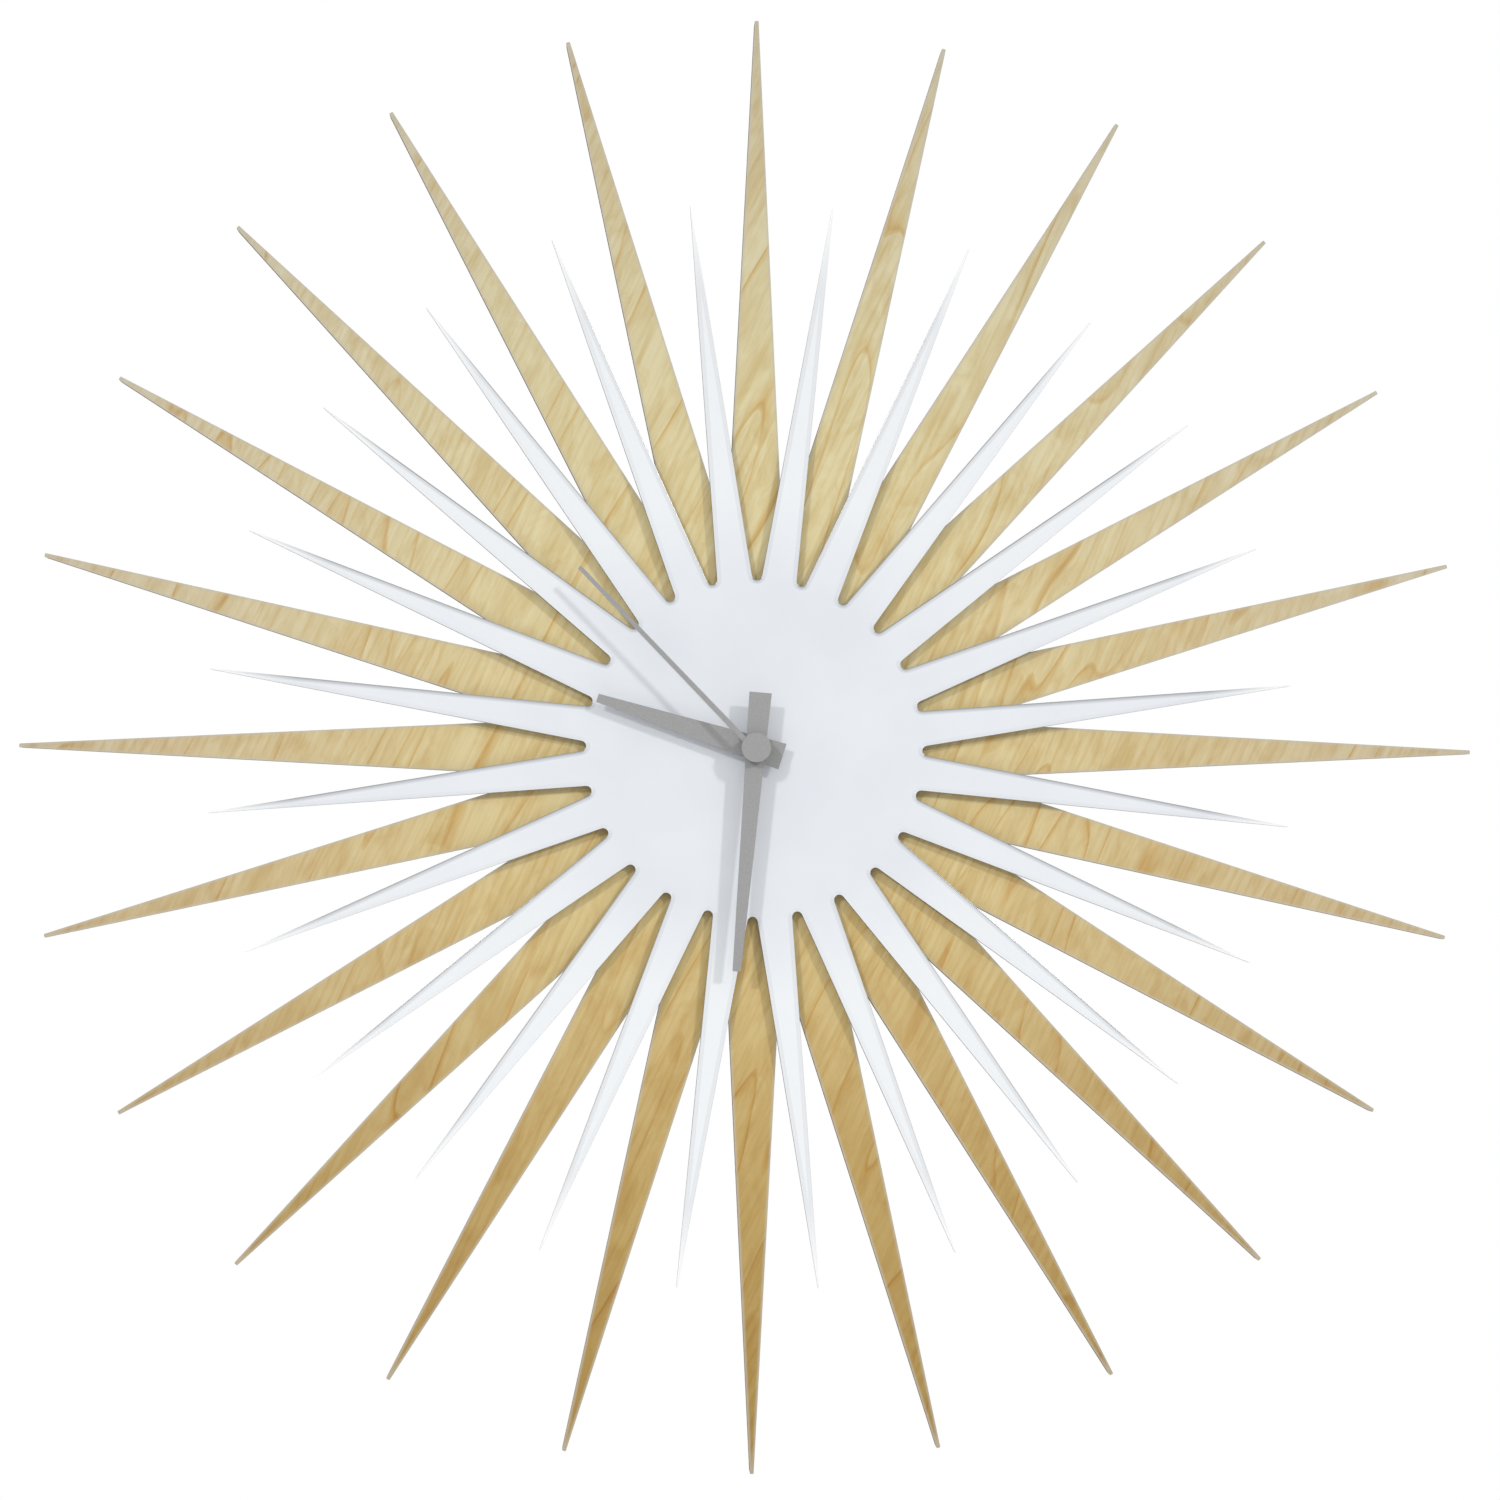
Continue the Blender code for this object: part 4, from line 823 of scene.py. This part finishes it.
# Green solder mask over copper tracks that show as slightly raised, paler lines
board_mask, tree, shader = worked("green solder mask", "E6E6E6", "FFFFFF", 0.35, grain=0.833)
place = add(tree, "TexCoord")
TRACK_SPACING = 1.1 * MM
tracks = add(
    tree,
    "TexBrick",
    None,
    {
        "Vector": place.outputs["Object"],
        "Scale": 1 / TRACK_SPACING,
        "Color1": linear("115230"),
        "Color2": linear("14603A"),
        "Mortar": linear("2A7A4C"),
        "Mortar Size": 0.03,
    },
)
clouding = shader.inputs["Base Color"].links[0].from_socket
masked = add(
    tree,
    "Mix",
    {"data_type": "RGBA", "blend_type": "MULTIPLY"},
    {0: 1.0, 6: tracks.outputs["Color"], 7: clouding},
)
tree.links.new(masked.outputs[2], shader.inputs["Base Color"])
dress("circuit_board", board_mask)

# Black potting epoxy: smooth and glossy with a slow ripple
epoxy, tree, shader = worked("black epoxy", "0C0C0D", "171718", 0.25, grain=3.33, relief=0.05)
dress("chip_cover", epoxy)

# Nickel-plated steel, drawn lengthwise
nickel, tree, shader = worked(
    "nickel-plated steel", "A9A69C", "CBC8BE", 0.25, 1.0, grain=1.67, stretch=(1, 1, 7)
)
dress("quartz_crystal", nickel)
for node in ("positive_contact", "negative_contact"):
    eased_copy(node, "clock_body", 0.08 * MM, nickel)

# --- AA cell --------------------------------------------------------------------------------------
# A steel can crimped at both ends, with a nub at the positive one. A printed plastic sleeve without any
# lettering is shrunk over it and leaves the ends bare.

low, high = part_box("aa_cell")
cell_y, cell_z = (low.y + high.y) / 2, (low.z + high.z) / 2
CELL_RADIUS = (high.z - low.z) / 2
NUB_RADIUS = 2.7 * MM
NUB_LENGTH = 1.2 * MM
CRIMP = 0.5 * MM
SLEEVE = 0.15 * MM
shoulder = high.x - NUB_LENGTH
CELL_PROFILE = (  # distance along the cell, and radius
    (low.x, 0.2 * MM),
    (low.x, 4.6 * MM),
    (low.x + 0.2 * MM, 5.2 * MM),
    (low.x + 0.2 * MM, CELL_RADIUS - 1.0 * MM),
    (low.x + 0.2 * MM, CELL_RADIUS - CRIMP),
    (low.x + CRIMP + 0.2 * MM, CELL_RADIUS),
    (shoulder - CRIMP, CELL_RADIUS),
    (shoulder, CELL_RADIUS - CRIMP),
    (shoulder, CELL_RADIUS - 1.0 * MM),
    (shoulder - SLEEVE, CELL_RADIUS - 1.2 * MM),
    (shoulder - SLEEVE, NUB_RADIUS + 0.4 * MM),
    (shoulder, NUB_RADIUS),
    (high.x, NUB_RADIUS),
    (high.x, 0.2 * MM),
)
CELL_SIDES = 40
NICKEL_RADIUS = CELL_RADIUS - 1.1 * MM  # the sleeve leaves the ends bare inside this
around = [2 * math.pi * side / CELL_SIDES for side in range(CELL_SIDES)]
aa_cell = loft(
    "aa_cell_finished",
    [
        [Vector((x, cell_y + radius * math.sin(a), cell_z + radius * math.cos(a))) for a in around]
        for x, radius in CELL_PROFILE
    ],
)
aa_cell.data.shade_smooth()
aa_cell.data.set_sharp_from_angle(angle=CREASE)
bevel(aa_cell, 0.12 * MM).modifiers["eased edges"].angle_limit = math.radians(40)

# Shrink sleeve: dark blue body and a copper band toward the positive end
sleeve, tree, shader = worked("printed shrink sleeve", "E4E4E4", "FFFFFF", 0.28, grain=2.86)
place = add(tree, "TexCoord")
lengthwise = add(tree, "SeparateXYZ", None, {"Vector": place.outputs["Object"]})
along = add(
    tree,
    "MapRange",
    None,
    {"Value": lengthwise.outputs["X"], "From Min": low.x, "From Max": shoulder},
)
BAND_FROM = 0.74
band = add(
    tree,
    "ValToRGB",
    {
        "stops": [
            (0, linear("16294C")),
            (BAND_FROM - 0.01, linear("16294C")),
            (BAND_FROM, linear("B0703A")),
        ]
    },
    {"Fac": along.outputs[0]},
)
shrinkage = shader.inputs["Base Color"].links[0].from_socket
printed = add(
    tree,
    "Mix",
    {"data_type": "RGBA", "blend_type": "MULTIPLY"},
    {0: 1.0, 6: band.outputs[0], 7: shrinkage},
)
tree.links.new(printed.outputs[2], shader.inputs["Base Color"])
aa_cell.data.materials.append(sleeve)
aa_cell.data.materials.append(nickel)
for face in aa_cell.data.polygons:
    from_axis = math.hypot(face.center.y - cell_y, face.center.z - cell_z)
    face.material_index = 1 if from_axis < NICKEL_RADIUS else 0
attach(aa_cell, "cell")
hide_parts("aa_cell")

# --- Hands ----------------------------------------------------------------------------------------
# Three stamped aluminium hands in matt grey paint, each pressed on its own pipe or arbor by a boss
# behind it. The second hand carries a turned hub disc that caps the stack.

# Matt grey spray paint with a fine orange peel
hand_paint, tree, shader = material("matt grey paint on aluminium", "9C9C9C", 0.62)
place = add(tree, "TexCoord")
PEEL = 0.714 * MM
orange_peel = add(
    tree, "TexNoise", None, {"Vector": place.outputs["Object"], "Scale": 1 / PEEL, "Detail": 2}
)
speckle = add(
    tree,
    "ValToRGB",
    {"stops": [(0.35, linear("989898")), (0.65, linear("A0A0A0"))]},
    {"Fac": orange_peel.outputs["Fac"]},
)
tree.links.new(speckle.outputs[0], shader.inputs["Base Color"])
peel = add(
    tree, "Bump", None, {"Strength": 0.2, "Distance": 0.03 * MM, "Height": orange_peel.outputs["Fac"]}
)
tree.links.new(peel.outputs[0], shader.inputs["Normal"])

HAND_EDGE = 0.1 * MM
for node, body in (("hour_hand", "hour"), ("minute_hand", "minute"), ("second_hand", "seconds")):
    eased_copy(node, body, HAND_EDGE, hand_paint)

# --- Floor, light and background ------------------------------------------------------------------
# A plain pale floor well below the clock, a large soft lamp high on either side, and a white surround
# that fills the shadows.

FLOOR_RADIUS = 1.15
FLOOR_SIDES = 96
FLOOR_LEVELS = (-0.75, -0.76)  # its top and its underside
floor_rim = [on_dial(FLOOR_RADIUS, 2 * math.pi * side / FLOOR_SIDES, 0) for side in range(FLOOR_SIDES)]
floor = loft(
    "floor",
    [[Vector((point.x, point.z, level)) for point in floor_rim] for level in FLOOR_LEVELS],
)
pale_floor, tree, shader = material("pale floor", "E9E9E7", 0.7)
floor.data.materials.append(pale_floor)

LAMPS = (("lamp_right", (1.0, -1.0, 0.73), 0.95), ("lamp_left", (-0.78, -1.0, 0.73), 0.87))
LAMP_SPREAD = math.radians(4.5)
for name, toward, strength in LAMPS:
    lamp = bpy.data.objects.new(name, bpy.data.lights.new(name, "SUN"))
    bpy.context.scene.collection.objects.link(lamp)
    lamp.rotation_euler = Vector(toward).to_track_quat("Z", "Y").to_euler()
    lamp.data.energy = strength
    lamp.data.angle = LAMP_SPREAD

# The surround lights the clock more from above, and is plain white where it is seen
world = bpy.data.worlds.new("white surround")
bpy.context.scene.world = world
world.use_nodes = True
tree = world.node_tree
tree.nodes.clear()
way = add(tree, "TexCoord")
part = add(tree, "SeparateXYZ", None, {"Vector": way.outputs["Generated"]})
soft = add(
    tree,
    "MapRange",
    None,
    {"Value": part.outputs["Z"], "From Min": -1.0, "To Min": 0.36, "To Max": 0.80},
)
surround = add(tree, "Background", None, {"Color": (1, 1, 1, 1), "Strength": soft.outputs[0]})
plain = add(tree, "Background", None, {"Color": (1, 1, 1, 1), "Strength": 1.0})
seen = add(tree, "LightPath")
both = add(
    tree,
    "MixShader",
    None,
    {0: seen.outputs["Is Camera Ray"], 1: surround.outputs[0], 2: plain.outputs[0]},
)
add(tree, "OutputWorld", None, {"Surface": both.outputs[0]})
bpy.context.scene.view_settings.view_transform = "Standard"
